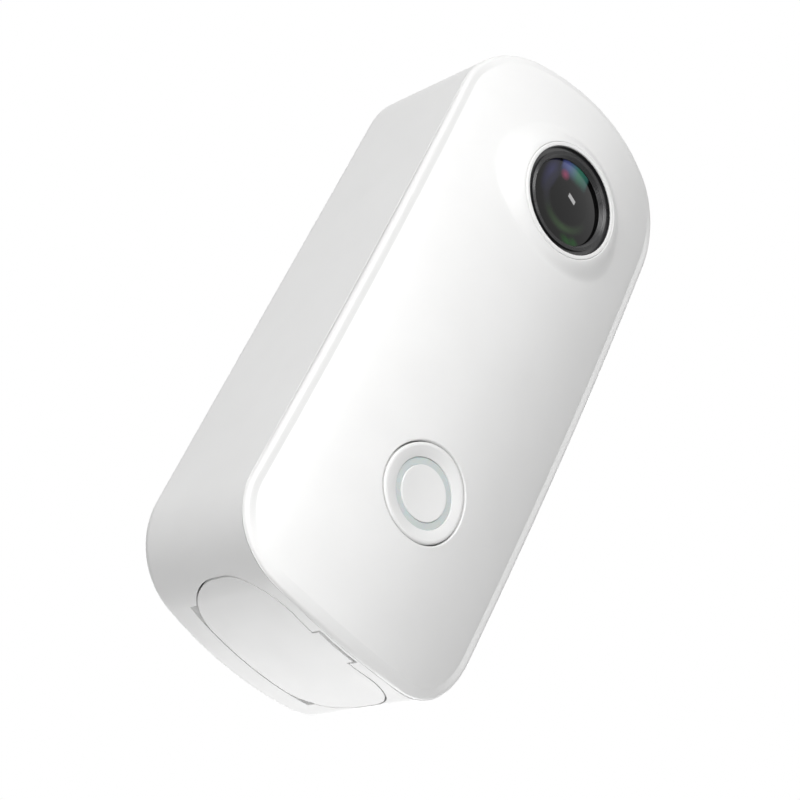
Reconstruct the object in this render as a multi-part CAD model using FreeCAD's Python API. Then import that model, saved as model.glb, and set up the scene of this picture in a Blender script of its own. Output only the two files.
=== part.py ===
import FreeCAD, Part
import math
import os

# A small white camera, thumb sized, held on by the magnets behind its flat back. All sizes are in millimetres.
# The back is the plane y = 0, the front faces -Y and the lens end is up (+Z).
# The origin is the middle of the back. Places along the depth are distances in front of y = 0.

V = FreeCAD.Vector
AXIS_X = V(1, 0, 0)
AXIS_Y = V(0, 1, 0)
AXIS_Z = V(0, 0, 1)

# Body outline, seen from the front
BODY_WIDTH = 26.0
BODY_LENGTH = 61.5
CORNER_RADIUS = 7.2
END_RADIUS = 38.0

# Body depth and the domed face
FACE_DEPTH = 18.4
DOME_RADIUS = 26.2
CROWN_RADIUS = 450.0
SEAM_RADIUS = 36.4
SEAM_CROWN_RADIUS = 1028.0
SEAM_SETBACK = 1.43
BAND_WIDTH = 0.95
BAND_STEP = 0.03
BAND_TILT_SIDE = 3.0
BAND_TILT_END = 29.0
LIP_ROUND = 0.5
BACK_ROUND = 1.6

# Walls
WALL = 1.2
BACK_WALL = 1.2
COVER_THICKNESS = 1.3
COVER_CLEARANCE = 0.08
SEAM_GAP = 0.03
SKIRT_DEPTH = 2.6
SKIRT_WIDTH = 0.8
GASKET_HEIGHT = 0.6
GASKET_WIDTH = 0.7

# Clearances
FIT_GAP = 0.02
REST_GAP = 0.1
BORE_GAP = 0.05

# Lens, with its places along the depth counted back from the face or from the piece in front
LENS_FROM_END = 12.67
LENS_RISE = 0.35
BOSS_RADIUS = 5.7
BOSS_RISE = 0.31
BOSS_BLEND = 2.3
BOSS_ROUND = 0.6
TRIM_WIDTH = 0.4
TRIM_ROUND = 0.12
TRIM_LENGTH = 1.85
BEZEL_RADIUS = 5.1
BEZEL_WIDTH = 0.89
BEZEL_RECESS = 0.1
COLLAR_WALL = 0.9
COLLAR_LENGTH = 4.55
GLASS_GAP = 0.05
GLASS_RECESS = 0.05
GLASS_SPHERE = 12.0
GLASS_THICKNESS = 2.2
BARREL_SHOULDER = 0.5
BARREL_FLANGE = 2.0
BARREL_WALL = 0.38
BARREL_LENGTH = 4.5
SECOND_RADIUS = 3.1
SECOND_SETBACK = 0.6
SECOND_THICKNESS = 1.3
REAR_RADIUS = 2.5
REAR_SETBACK = 0.6
REAR_THICKNESS = 1.1
LENS_WELL_WALL = 0.5
LENS_HOLE = 1.9
HOLDER_WALL = 1.28
HOLDER_OVERLAP = 1.3
FILTER_WIDTH = 6.0
FILTER_THICKNESS = 0.3
SENSOR_WIDTH = 6.4
SENSOR_HEIGHT = 5.2
SENSOR_THICKNESS = 0.7
SENSOR_BOARD_THICKNESS = 0.5
SENSOR_BOARD_WIDTH = 13.0
SENSOR_BOARD_HEIGHT = 12.0

# Shutter button
BUTTON_FROM_END = 15.15
BUTTON_HOLE_RADIUS = 4.37
BUTTON_GROOVE = 0.11
BUTTON_RIM = 0.3
BUTTON_DISH_DEPTH = 0.42
RING_OUTER_RADIUS = 3.04
RING_WIDTH = 0.6
RING_SET_BACK = 0.04
CENTRE_DISH = 0.12
CENTRE_SPHERE = 22.0
BUTTON_TRAVEL = 0.35
FLANGE_OVERHANG = 0.63
FLANGE_SETBACK = 2.0
FLANGE_THICKNESS = 0.7
GUIDE_GAP = 0.15
GUIDE_WALL = 0.8
GUIDE_LENGTH = 1.2
MEMBRANE_THICKNESS = 0.4
STEM_RADIUS = 0.8
SWITCH_WIDTH = 4.4
SWITCH_HEIGHT = 3.6
PLUNGER_RISE = 0.8
PLUNGER_RADIUS = 0.75
PLUNGER_LENGTH = 1.6
LIGHT_SIZE = 0.6
LIGHT_HEIGHT = 0.45
LIGHT_COUNT = 4

# Port door on the bottom end
DOOR_WIDTH = 17.7
DOOR_SETBACK = 3.4
DOOR_CORNER = 4.8
DOOR_THICKNESS = 1.15
DOOR_GAP = 0.16
DOOR_SEAT_GAP = 0.05
TAB_WIDTH = 4.0
TAB_REACH = 0.75
NAIL_SLOT = 0.4
NAIL_SLOT_DEPTH = 1.1
LEDGE_THICKNESS = 1.1
LEDGE_WIDTH = 1.0
LEDGE_OVERLAP = 0.75

# Door hinge
HINGE_ROOM = 2.1
HINGE_SETBACK = 0.85
HINGE_DEPTH = 0.75
PIN_RADIUS = 0.22
PIN_LENGTH = 7.0
PIN_RUNNING_GAP = 0.03
EYE_RADIUS = 0.38
EYE_WIDTH = 0.6
EYE_SPACING = 4.8
EYE_GAP = 0.08
ARM_LEAN = 0.12
ARM_HEIGHT = 0.7
BRACKET_THICKNESS = 0.3
BRACKET_WIDTH = 6.4
TAIL_GAP = 0.1

# Door seal and port panel
SEAL_INSET = 1.15
SEAL_WIDTH = 0.6
PANEL_REAR_WALL = 0.9
PANEL_THICKNESS = 3.9
PANEL_SIDE_CLEARANCE = 0.15
PORT_CLEARANCE = 0.15

# USB socket
USB_WIDTH = 8.94
USB_HEIGHT = 3.26
USB_LENGTH = 7.3
USB_MOUTH_DEPTH = 3.15
USB_WALL = 0.25
USB_END_ROUNDING = 0.98
TONGUE_WIDTH = 6.69
TONGUE_THICKNESS = 0.7
TONGUE_SETBACK = 0.8

# microSD socket and card
CARD_WIDTH = 11.0
CARD_LENGTH = 15.0
CARD_THICKNESS = 0.7
CARD_STEP = 1.3
CARD_SHOULDER_SHARE = 0.58
CARD_END_DEPTH = 4.45
CARD_SOCKET_SIDE = 1.3
CARD_SOCKET_LENGTH = 14.6
CARD_SOCKET_HEIGHT = 1.4
CARD_SLOT_GAP = 0.08
CARD_SPRING_ROOM = 0.9
CARD_FINGER_ROOM = 2.0

# Main board
BOARD_SETBACK = 8.8
BOARD_THICKNESS = 0.8
BOARD_SIDE_MARGIN = 2.2
BOARD_LENS_GAP = 0.78
BOARD_PANEL_GAP = 0.3
BOARD_CORNER = 1.2
SCREW_INSET_X = 1.3
SCREW_INSET_Z = 2.2
SCREW_SHANK_RADIUS = 0.45
SCREW_HEAD_RADIUS = 0.9
SCREW_HEAD_HEIGHT = 0.4
SCREW_LENGTH = 2.0
SCREW_RECESS = 0.2
BOSS_POST_RADIUS = 1.1
PROCESSOR_SIZE = 8.6
MEMORY_WIDTH = 7.0
MEMORY_HEIGHT = 8.0
CHIP_SPACING = 1.0
CHIP_THICKNESS = 0.9
CHIP_HEADROOM = 0.5
SHIELD_MARGIN = 0.7
SHIELD_END_MARGIN = 1.3
SHIELD_WALL = 0.2
ANTENNA_HEIGHT = 2.0
ANTENNA_THICKNESS = 0.5
ANTENNA_GAP = 0.35
ANTENNA_DROP = 1.4

# Battery, tray and back magnets
MAGNET_RADIUS = 4.0
MAGNET_THICKNESS = 1.2
MAGNET_SPACING = 24.0
MAGNET_POCKET_WALL = 0.6
MAGNET_POCKET_DEPTH = 0.9
YOKE_WIDTH = 15.0
YOKE_END_GAP = 1.8
YOKE_THICKNESS = 0.3
BATTERY_SIDE_MARGIN = 3.2
BATTERY_END_MARGIN = 8.95
BATTERY_EDGE_ROUND = 1.0
TRAY_WALL = 0.5
TRAY_CLEARANCE = 0.1
FLEX_WIDTH = 6.0
FLEX_THICKNESS = 0.12
CONNECTOR_WIDTH = 6.6
CONNECTOR_HEIGHT = 2.0
CONNECTOR_DROP = 1.2
CONNECTOR_THICKNESS = 0.7
BATTERY_PLUG_WIDTH = 4.0
BATTERY_PLUG_HEIGHT = 2.6
BATTERY_PLUG_GAP = 0.4

# Microphone at the top end
MICROPHONE_HOLE = 0.5
MICROPHONE_Y = 8.0
MICROPHONE_WIDTH = 3.0
MICROPHONE_HEIGHT = 1.0
MESH_RADIUS = 1.3
MESH_THICKNESS = 0.2

# Reach of the tools that cut right through, and how far joined lumps run into each other
FAR = 40.0
MARGIN = 3.0
DOME_TURN_SHARE = 1.2
PLUG_OVERLAP = 0.15
BAND_POINTS = 12
POCKET_OVERLAP = 0.2

# How closely an edge has to match when it is picked out
TOUCH = 0.001
NEAR = 0.01
LOOSE = 0.05
ALONG_SHARE = 0.99

# Worked out from the sizes above: body, lens and button
HALF_WIDTH = BODY_WIDTH / 2
HALF_LENGTH = BODY_LENGTH / 2
LENS_Z = HALF_LENGTH - LENS_FROM_END
LENS_FRONT = FACE_DEPTH + LENS_RISE
BOSS_FRONT = FACE_DEPTH + BOSS_RISE
TRIM_RADIUS = BEZEL_RADIUS + TRIM_WIDTH
TRIM_BACK = LENS_FRONT - TRIM_LENGTH
COLLAR_BACK = LENS_FRONT - COLLAR_LENGTH
BEZEL_BORE = BEZEL_RADIUS - BEZEL_WIDTH
GLASS_RADIUS = BEZEL_BORE - GLASS_GAP
GLASS_APEX = LENS_FRONT - GLASS_RECESS
GLASS_BACK = GLASS_APEX - GLASS_THICKNESS
BARREL_FLANGE_RADIUS = GLASS_RADIUS + BARREL_SHOULDER
BARREL_FLANGE_BACK = GLASS_BACK - BARREL_FLANGE
BARREL_RADIUS = SECOND_RADIUS + FIT_GAP + BARREL_WALL
BARREL_BACK = GLASS_BACK - BARREL_LENGTH
SECOND_FRONT = GLASS_BACK - SECOND_SETBACK
SECOND_BACK = SECOND_FRONT - SECOND_THICKNESS
REAR_FRONT = SECOND_BACK - REAR_SETBACK
REAR_BACK = REAR_FRONT - REAR_THICKNESS
HOLDER_WIDTH = 2 * (BARREL_RADIUS + FIT_GAP + HOLDER_WALL)
HOLDER_FRONT = BARREL_BACK + HOLDER_OVERLAP
BUTTON_Z = BUTTON_FROM_END - HALF_LENGTH
RING_INNER_RADIUS = RING_OUTER_RADIUS - RING_WIDTH
FLANGE_RADIUS = BUTTON_HOLE_RADIUS + FLANGE_OVERHANG
FLANGE_FRONT = FACE_DEPTH - FLANGE_SETBACK
GUIDE_BACK = FLANGE_FRONT - GUIDE_LENGTH

# Worked out: the board and what stands on it
BOARD_FRONT = FACE_DEPTH - BOARD_SETBACK
BOARD_BACK = BOARD_FRONT - BOARD_THICKNESS
BOARD_WIDTH = BODY_WIDTH - 2 * BOARD_SIDE_MARGIN
BOARD_HALF = BOARD_WIDTH / 2
BOARD_TOP = LENS_Z - SENSOR_BOARD_HEIGHT / 2 - BOARD_LENS_GAP
SENSOR_BOARD_BACK = BOARD_FRONT + FLEX_THICKNESS
SENSOR_BOARD_FRONT = SENSOR_BOARD_BACK + SENSOR_BOARD_THICKNESS
STEM_BACK = BOARD_FRONT + SWITCH_HEIGHT + PLUNGER_RISE
SHIELD_WIDTH = PROCESSOR_SIZE + CHIP_SPACING + MEMORY_WIDTH + 2 * (SHIELD_MARGIN + SHIELD_WALL)
SHIELD_HEIGHT = PROCESSOR_SIZE + 2 * (SHIELD_END_MARGIN + SHIELD_WALL)
SHIELD_DEPTH = CHIP_THICKNESS + CHIP_HEADROOM + SHIELD_WALL
PROCESSOR_X = (PROCESSOR_SIZE - SHIELD_WIDTH) / 2 + SHIELD_WALL + SHIELD_MARGIN
MEMORY_X = (SHIELD_WIDTH - MEMORY_WIDTH) / 2 - SHIELD_WALL - SHIELD_MARGIN
CONNECTOR_BOTTOM = BOARD_TOP - CONNECTOR_DROP - CONNECTOR_HEIGHT
CHIP_Z = (CONNECTOR_BOTTOM + BUTTON_Z + RING_OUTER_RADIUS) / 2
SCREW_X = BOARD_HALF - SCREW_INSET_X
ANTENNA_WIDTH = SCREW_X - SCREW_HEAD_RADIUS - CONNECTOR_WIDTH / 2 - 2 * ANTENNA_GAP
ANTENNA_X = -(CONNECTOR_WIDTH / 2 + ANTENNA_GAP + ANTENNA_WIDTH / 2)
BATTERY_PLUG_X = -(SCREW_X - BOSS_POST_RADIUS - BATTERY_PLUG_GAP - BATTERY_PLUG_WIDTH / 2)

# Worked out: the port door and what lies behind it
CARD_MIDDLE = BOARD_BACK - CARD_SOCKET_HEIGHT / 2
PANEL_REAR = CARD_MIDDLE - CARD_FINGER_ROOM / 2 - PANEL_REAR_WALL
DOOR_REAR = PANEL_REAR - HINGE_ROOM
DOOR_FRONT = FACE_DEPTH - DOOR_SETBACK
PIN_Y = -(DOOR_REAR + HINGE_SETBACK)
SEAT_DEPTH = DOOR_THICKNESS + DOOR_SEAT_GAP
LEDGE_DEPTH = SEAT_DEPTH + LEDGE_THICKNESS
PIN_Z = -(HALF_LENGTH - HINGE_DEPTH)
PANEL_BOTTOM = HALF_LENGTH - LEDGE_DEPTH - DOOR_SEAT_GAP
PANEL_TOP = PANEL_BOTTOM - PANEL_THICKNESS
BOARD_BOTTOM = PANEL_TOP - BOARD_PANEL_GAP
USB_MOUTH = HALF_LENGTH - USB_MOUTH_DEPTH
USB_MIDDLE = BOARD_FRONT + USB_HEIGHT / 2
CARD_END = HALF_LENGTH - CARD_END_DEPTH
CARD_SOCKET_WIDTH = CARD_WIDTH + 2 * CARD_SOCKET_SIDE
CARD_SOCKET_MOUTH = PANEL_TOP - REST_GAP

# Worked out: the battery, which fills what is left behind the board
BATTERY_BACK = BACK_WALL + MAGNET_THICKNESS + YOKE_THICKNESS + TRAY_CLEARANCE
TRAY_FRONT = BOARD_BACK - CARD_SOCKET_HEIGHT - REST_GAP
TRAY_BACK = TRAY_FRONT - TRAY_WALL
BATTERY_FRONT = TRAY_BACK - TRAY_CLEARANCE
BATTERY_WIDTH = BODY_WIDTH - 2 * BATTERY_SIDE_MARGIN
BATTERY_LENGTH = BODY_LENGTH - 2 * BATTERY_END_MARGIN
TRAY_HALF_WIDTH = BATTERY_WIDTH / 2 + TRAY_CLEARANCE + TRAY_WALL
TRAY_HALF_LENGTH = BATTERY_LENGTH / 2 + TRAY_CLEARANCE + TRAY_WALL
YOKE_LENGTH = BATTERY_LENGTH - 2 * YOKE_END_GAP


def outline_edges(inset, y):
    """The body's outline, moved in by inset, in the plane at y."""
    half_w = HALF_WIDTH - inset
    half_l = HALF_LENGTH - inset
    corner = CORNER_RADIUS - inset
    end = END_RADIUS - inset
    corner_x = half_w - corner
    end_z = half_l - end
    corner_z = end_z + math.sqrt((end - corner) ** 2 - corner_x ** 2)
    lean = math.asin(corner_x / (end - corner))
    join_x = end * math.sin(lean)
    join_z = end_z + end * math.cos(lean)
    mid_lean = (lean + math.pi / 2) / 2
    bend_x = corner_x + corner * math.sin(mid_lean)
    bend_z = corner_z + corner * math.cos(mid_lean)
    edges = []
    edges.append(Part.LineSegment(V(half_w, y, -corner_z), V(half_w, y, corner_z)).toShape())
    edges.append(Part.Arc(V(half_w, y, corner_z), V(bend_x, y, bend_z), V(join_x, y, join_z)).toShape())
    edges.append(Part.Arc(V(join_x, y, join_z), V(0, y, half_l), V(-join_x, y, join_z)).toShape())
    edges.append(Part.Arc(V(-join_x, y, join_z), V(-bend_x, y, bend_z), V(-half_w, y, corner_z)).toShape())
    edges.append(Part.LineSegment(V(-half_w, y, corner_z), V(-half_w, y, -corner_z)).toShape())
    edges.append(Part.Arc(V(-half_w, y, -corner_z), V(-bend_x, y, -bend_z), V(-join_x, y, -join_z)).toShape())
    edges.append(Part.Arc(V(-join_x, y, -join_z), V(0, y, -half_l), V(join_x, y, -join_z)).toShape())
    edges.append(Part.Arc(V(join_x, y, -join_z), V(bend_x, y, -bend_z), V(half_w, y, -corner_z)).toShape())
    return edges


def body_prism(inset, back=0.0, front=FACE_DEPTH + MARGIN):
    """A straight block of the body's outline, from back to front (both are distances in front of y = 0)."""
    face = Part.Face(Part.Wire(outline_edges(inset, -back)))
    return face.extrude(V(0, back - front, 0))


def dome(depth):
    """All that lies behind the domed face when the face is moved back by depth."""
    return behind_dome(DOME_RADIUS - depth, CROWN_RADIUS - depth, FACE_DEPTH - depth)


def seam_dome(depth=0.0):
    """All that lies behind the seam between the cover and the shell, moved back by depth."""
    front = FACE_DEPTH - SEAM_SETBACK - depth
    return behind_dome(SEAM_RADIUS - depth, SEAM_CROWN_RADIUS - depth, front)


def behind_dome(radius, crown_radius, front):
    """All that lies behind a dome of this radius across and this one along, whose middle is at front."""
    half = HALF_WIDTH + MARGIN
    middle = -front
    side = middle + radius - math.sqrt(radius ** 2 - half ** 2)
    pivot = crown_radius - front
    turn = DOME_TURN_SHARE * math.degrees(math.atan((HALF_LENGTH + MARGIN) / crown_radius))
    corners = [V(half, side, 0), V(half, MARGIN, 0), V(-half, MARGIN, 0), V(-half, side, 0)]
    edges = [Part.Arc(corners[3], V(0, middle, 0), corners[0]).toShape()]
    for start, end in zip(corners, corners[1:]):
        edges.append(Part.LineSegment(start, end).toShape())
    profile = Part.Face(Part.Wire(edges))
    profile.rotate(V(0, pivot, 0), AXIS_X, -turn)
    return profile.revolve(V(0, pivot, 0), AXIS_X, 2 * turn)


def face_front(x, z, depth=0.0):
    """How far in front of y = 0 the domed face is at x, z."""
    radius = DOME_RADIUS - depth
    along = CROWN_RADIUS - depth
    drop = radius - math.sqrt(radius ** 2 - x ** 2)
    crown = along - math.sqrt((along - drop) ** 2 - z ** 2) - drop
    return FACE_DEPTH - depth - drop - crown


def disc(radius, x, z, front, back):
    """A round block along Y, from front to back (distances in front of y = 0)."""
    return Part.makeCylinder(radius, front - back, V(x, -front, z), AXIS_Y)


def tube(outer, inner, x, z, front, back):
    """A round tube along Y."""
    return disc(outer, x, z, front, back).cut(disc(inner, x, z, front + MARGIN, back - MARGIN))


def block(width, height, x, z, front, back):
    """A rectangular block centred on x, z."""
    return Part.makeBox(width, front - back, height, V(x - width / 2, -front, z - height / 2))


def turning(points, z):
    """A piece turned about the line along Y at z, from (radius, distance in front of y = 0) points."""
    corners = [V(radius, -front, z) for radius, front in points]
    return Part.Face(Part.makePolygon(corners + [corners[0]])).revolve(V(0, 0, z), AXIS_Y, 360)


def plan_prism(grow, front, rear, width, corner, top, bottom):
    """A block along Z with a rounded rectangular plan, grown by grow all round."""
    half = width / 2 + grow
    near = -(front + grow)
    far = -(rear - grow)
    box = Part.makeBox(2 * half, far - near, top - bottom, V(-half, near, bottom))
    upright = [edge for edge in box.Edges if is_lengthwise(edge)]
    return box.makeFillet(corner + grow, upright)


def door_plan(grow, tab=True):
    """The door's plan, grown by grow, as a block through the bottom end."""
    plan = plan_prism(grow, DOOR_FRONT, DOOR_REAR, DOOR_WIDTH, DOOR_CORNER, 0, -FAR)
    if not tab:
        return plan
    tongue = Part.makeBox(TAB_WIDTH + 2 * grow, TAB_REACH + DOOR_CORNER, FAR,
                          V(-TAB_WIDTH / 2 - grow, -(DOOR_FRONT + TAB_REACH + grow), -FAR))
    return plan.fuse(tongue).removeSplitter()


def is_upright(edge):
    """True for an edge that runs along Y."""
    return abs(edge.tangentAt(edge.FirstParameter).y) > ALONG_SHARE


def is_lengthwise(edge):
    """True for an edge that runs along Z."""
    return abs(edge.tangentAt(edge.FirstParameter).z) > ALONG_SHARE


def is_level(edge, front):
    """True for an edge that lies flat, at this distance in front of y = 0."""
    box = edge.BoundBox
    return box.YLength < TOUCH and abs(box.YMin + front) < TOUCH


def band_room():
    """What is cut away over the band, which lies nearly flat at the sides and leans outwards at the ends."""
    inner = []
    outer = []
    along = [0.0]
    for edge in outline_edges(0, 0):
        for share in range(BAND_POINTS):
            place = edge.FirstParameter + (edge.LastParameter - edge.FirstParameter) * share / BAND_POINTS
            along.append(along[-1] + edge.Length / BAND_POINTS)
            point = edge.valueAt(place)
            outwards = edge.tangentAt(place).cross(AXIS_Y)
            if outwards.dot(point) < 0:
                outwards = -outwards
            lean = BAND_TILT_SIDE + (BAND_TILT_END - BAND_TILT_SIDE) * outwards.z ** 2
            crease = point - outwards * BAND_WIDTH
            height = face_front(crease.x, crease.z) - BAND_STEP
            reach = BAND_WIDTH + MARGIN / 2
            outside = crease + outwards * reach
            inner.append(V(crease.x, -height, crease.z))
            outer.append(V(outside.x, reach * math.tan(math.radians(lean)) - height, outside.z))
    curves = []
    for points in (inner, outer):
        curve = Part.BSplineCurve()
        curve.interpolate(Points=points, PeriodicFlag=True, Parameters=along)
        curves.append(curve.toShape())
    return Part.makeRuledSurface(curves[0], curves[1]).extrude(V(0, -FACE_DEPTH, 0))


def one_solid(shape):
    """The only solid of a shape, or the shape as it is."""
    return shape.Solids[0] if len(shape.Solids) == 1 else shape


def rim_edges(shape):
    """The edges round the front that lie on the body's outline."""
    outline = Part.Wire(outline_edges(0, 0))
    found = []
    for edge in shape.Edges:
        middle = edge.valueAt((edge.FirstParameter + edge.LastParameter) / 2)
        on_outline = Part.Vertex(V(middle.x, 0, middle.z)).distToShape(outline)[0] < NEAR
        if on_outline and middle.y < -FACE_DEPTH / 2 and not is_upright(edge):
            found.append(edge)
    return found


def edge_radius(x):
    """Distance from the hinge axis to the door's straight rear edge at x, on the skin."""
    return math.hypot(HINGE_SETBACK, HINGE_DEPTH - skin_rise(x))


def skin_rise(x):
    """How far the bottom end's skin lies above its lowest point at x."""
    corner_x = HALF_WIDTH - CORNER_RADIUS
    lean = math.asin(corner_x / (END_RADIUS - CORNER_RADIUS))
    if abs(x) <= END_RADIUS * math.sin(lean):
        return END_RADIUS - math.sqrt(END_RADIUS ** 2 - x ** 2)
    corner_z = HALF_LENGTH - END_RADIUS + (END_RADIUS - CORNER_RADIUS) * math.cos(lean)
    return HALF_LENGTH - corner_z - math.sqrt(CORNER_RADIUS ** 2 - (abs(x) - corner_x) ** 2)


def tail_room():
    """The room that the door's rear edge sweeps as it turns about its pin."""
    behind_pin = math.sqrt(2 * DOOR_CORNER * HINGE_SETBACK - HINGE_SETBACK ** 2)
    reach = DOOR_WIDTH / 2 - DOOR_CORNER + behind_pin + TAIL_GAP + DOOR_GAP
    points = [V(x, PIN_Y, PIN_Z + edge_radius(x) + TAIL_GAP) for x in (-reach, 0.0, reach)]
    ends = [V(reach, PIN_Y, PIN_Z), V(-reach, PIN_Y, PIN_Z)]
    edges = [Part.Arc(points[0], points[1], points[2]).toShape()]
    edges.append(Part.LineSegment(points[2], ends[0]).toShape())
    edges.append(Part.LineSegment(ends[0], ends[1]).toShape())
    edges.append(Part.LineSegment(ends[1], points[0]).toShape())
    barrel = Part.Face(Part.Wire(edges)).revolve(V(0, PIN_Y, PIN_Z), AXIS_X, 360)
    return barrel.common(Part.makeBox(2 * FAR, FAR, FAR, V(-FAR, PIN_Y, PIN_Z - FAR / 2)))


def make_rear_shell():
    """The deep tub with the door opening in its bottom end."""
    outer = body_prism(0).common(seam_dome(SEAM_GAP))
    outer = outer.makeFillet(BACK_ROUND, [edge for edge in outer.Edges if is_level(edge, 0)])
    shell = outer.cut(body_prism(WALL, BACK_WALL))
    ledge = body_prism(WALL / 2, BACK_WALL / 2).cut(body_prism(LEDGE_DEPTH, 0))
    ledge = ledge.common(door_plan(LEDGE_WIDTH, tab=False))
    ledge = ledge.common(dome(COVER_THICKNESS + GASKET_HEIGHT + REST_GAP))
    behind_panel = Part.makeBox(2 * FAR, FAR, 2 * FAR, V(-FAR, -PANEL_REAR, -FAR))
    shell = shell.fuse(ledge.cut(behind_panel))
    recess = door_plan(DOOR_GAP).cut(body_prism(SEAT_DEPTH, -MARGIN))
    shell = shell.cut(recess)
    shell = shell.cut(door_plan(-LEDGE_OVERLAP, tab=False))
    shell = shell.cut(door_plan(DOOR_GAP, tab=False).common(behind_panel))
    shell = shell.cut(tail_room())
    nail_front = DOOR_FRONT + TAB_REACH + NAIL_SLOT
    nail = Part.makeBox(TAB_WIDTH + 2 * DOOR_GAP, NAIL_SLOT + MARGIN / 2, FAR,
                        V(-TAB_WIDTH / 2 - DOOR_GAP, -nail_front, -FAR))
    shell = shell.cut(nail.cut(body_prism(NAIL_SLOT_DEPTH, -MARGIN)))
    for z in (MAGNET_SPACING / 2, -MAGNET_SPACING / 2):
        wall = tube(MAGNET_RADIUS + FIT_GAP + MAGNET_POCKET_WALL, MAGNET_RADIUS + FIT_GAP, 0, z,
                    BACK_WALL + MAGNET_POCKET_DEPTH, BACK_WALL - POCKET_OVERLAP)
        shell = shell.fuse(wall)
    hole = Part.makeCylinder(MICROPHONE_HOLE, FAR, V(0, -MICROPHONE_Y, 0), AXIS_Z)
    return one_solid(shell.cut(hole).removeSplitter())


def make_front_cover():
    """The domed front with its lip, band, lens boss and button hole."""
    blank = body_prism(0).common(dome(0))
    blank = blank.cut(band_room())
    blank = blank.makeFillet(LIP_ROUND, rim_edges(blank))
    tall = BOSS_FRONT + BOSS_BLEND + MARGIN
    raised = blank.fuse(disc(BOSS_RADIUS, 0, LENS_Z, tall, COLLAR_BACK))
    raised = raised.makeFillet(BOSS_BLEND, [edge for edge in raised.Edges if is_boss_foot(edge)])
    raised = raised.cut(block(2 * FAR, 2 * FAR, 0, 0, tall + MARGIN, BOSS_FRONT))
    raised = raised.makeFillet(BOSS_ROUND, [edge for edge in raised.Edges if is_level(edge, BOSS_FRONT)])
    cover = raised.cut(seam_dome())
    inside = body_prism(WALL + COVER_CLEARANCE)
    plug = inside.common(seam_dome(-PLUG_OVERLAP)).cut(dome(COVER_THICKNESS))
    skirt = inside.cut(body_prism(WALL + COVER_CLEARANCE + SKIRT_WIDTH, -MARGIN))
    skirt = skirt.common(seam_dome()).cut(dome(SKIRT_DEPTH))
    skirt = skirt.cut(door_plan(LEDGE_WIDTH + REST_GAP, tab=False))
    cover = cover.fuse([plug, skirt])
    collar_radius = BEZEL_RADIUS + FIT_GAP + COLLAR_WALL
    collar = disc(collar_radius, 0, LENS_Z, face_front(0, LENS_Z) - COVER_THICKNESS / 2, COLLAR_BACK)
    guide_bore = FLANGE_RADIUS + GUIDE_GAP
    guide = disc(guide_bore + GUIDE_WALL, 0, BUTTON_Z, FACE_DEPTH, GUIDE_BACK)
    cover = cover.fuse([collar, guide.common(dome(COVER_THICKNESS / 2))])
    cover = cover.cut(disc(BEZEL_RADIUS + FIT_GAP, 0, LENS_Z, LENS_FRONT + MARGIN, COLLAR_BACK - MARGIN))
    cover = cover.cut(disc(TRIM_RADIUS + FIT_GAP, 0, LENS_Z, LENS_FRONT + MARGIN, TRIM_BACK))
    cover = cover.cut(disc(guide_bore, 0, BUTTON_Z, FLANGE_FRONT + REST_GAP, GUIDE_BACK - MARGIN))
    cover = cover.cut(disc(BUTTON_HOLE_RADIUS, 0, BUTTON_Z, FACE_DEPTH + MARGIN, GUIDE_BACK))
    return one_solid(cover.removeSplitter())


def is_boss_foot(edge):
    """True for the edge where the lens boss meets the face."""
    box = edge.BoundBox
    round_boss = abs(box.XLength - 2 * BOSS_RADIUS) < LOOSE
    return round_boss and -box.YMin < BOSS_FRONT and -box.YMax > FACE_DEPTH / 2


def hinge_rod(radius, length):
    """A round rod along the hinge axis."""
    return Part.makeCylinder(radius, length, V(-length / 2, PIN_Y, PIN_Z), AXIS_X)


def make_port_door():
    """The curved door, its fingernail tab, its pin bore and the two slots for the bracket's eyes."""
    bottom = Part.makeBox(2 * FAR, 2 * FAR, FAR, V(-FAR, -FAR, -FAR))
    plate = body_prism(0, -MARGIN).cut(body_prism(DOOR_THICKNESS, -2 * MARGIN))
    door = plate.common(bottom).common(door_plan(0))
    door = door.cut(hinge_rod(PIN_RADIUS + FIT_GAP, PIN_LENGTH + 2 * FIT_GAP))
    reach = EYE_RADIUS + EYE_GAP
    width = EYE_WIDTH + 2 * REST_GAP
    for middle in (EYE_SPACING / 2, -EYE_SPACING / 2):
        slot = Part.makeBox(width, FAR, FAR, V(middle - width / 2, PIN_Y - reach, PIN_Z - reach))
        door = door.cut(slot)
    return one_solid(door.removeSplitter())


def make_hinge_pin():
    """The thin steel pin that is moulded into the door."""
    return hinge_rod(PIN_RADIUS, PIN_LENGTH)


def make_hinge_bracket():
    """The steel bracket on the back of the port panel, with two eyes round the pin."""
    panel_bottom = -PANEL_BOTTOM
    foot_y = -PANEL_REAR
    foot = Part.makeBox(BRACKET_WIDTH, BRACKET_THICKNESS, -PANEL_TOP - panel_bottom,
                        V(-BRACKET_WIDTH / 2, foot_y, panel_bottom))
    arms = []
    for middle in (EYE_SPACING / 2, -EYE_SPACING / 2):
        left = middle - EYE_WIDTH / 2
        eye = Part.makeCylinder(EYE_RADIUS, EYE_WIDTH, V(left, PIN_Y, PIN_Z), AXIS_X)
        drop = Part.makeBox(EYE_WIDTH, EYE_RADIUS + ARM_LEAN, panel_bottom + ARM_HEIGHT - PIN_Z,
                            V(left, PIN_Y - EYE_RADIUS, PIN_Z))
        reach = Part.makeBox(EYE_WIDTH, PIN_Y + ARM_LEAN - foot_y, ARM_HEIGHT, V(left, foot_y, panel_bottom))
        arms += [eye, drop, reach]
    bracket = foot.fuse(arms)
    return one_solid(bracket.cut(hinge_rod(PIN_RADIUS + PIN_RUNNING_GAP, 2 * FAR)).removeSplitter())


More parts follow.
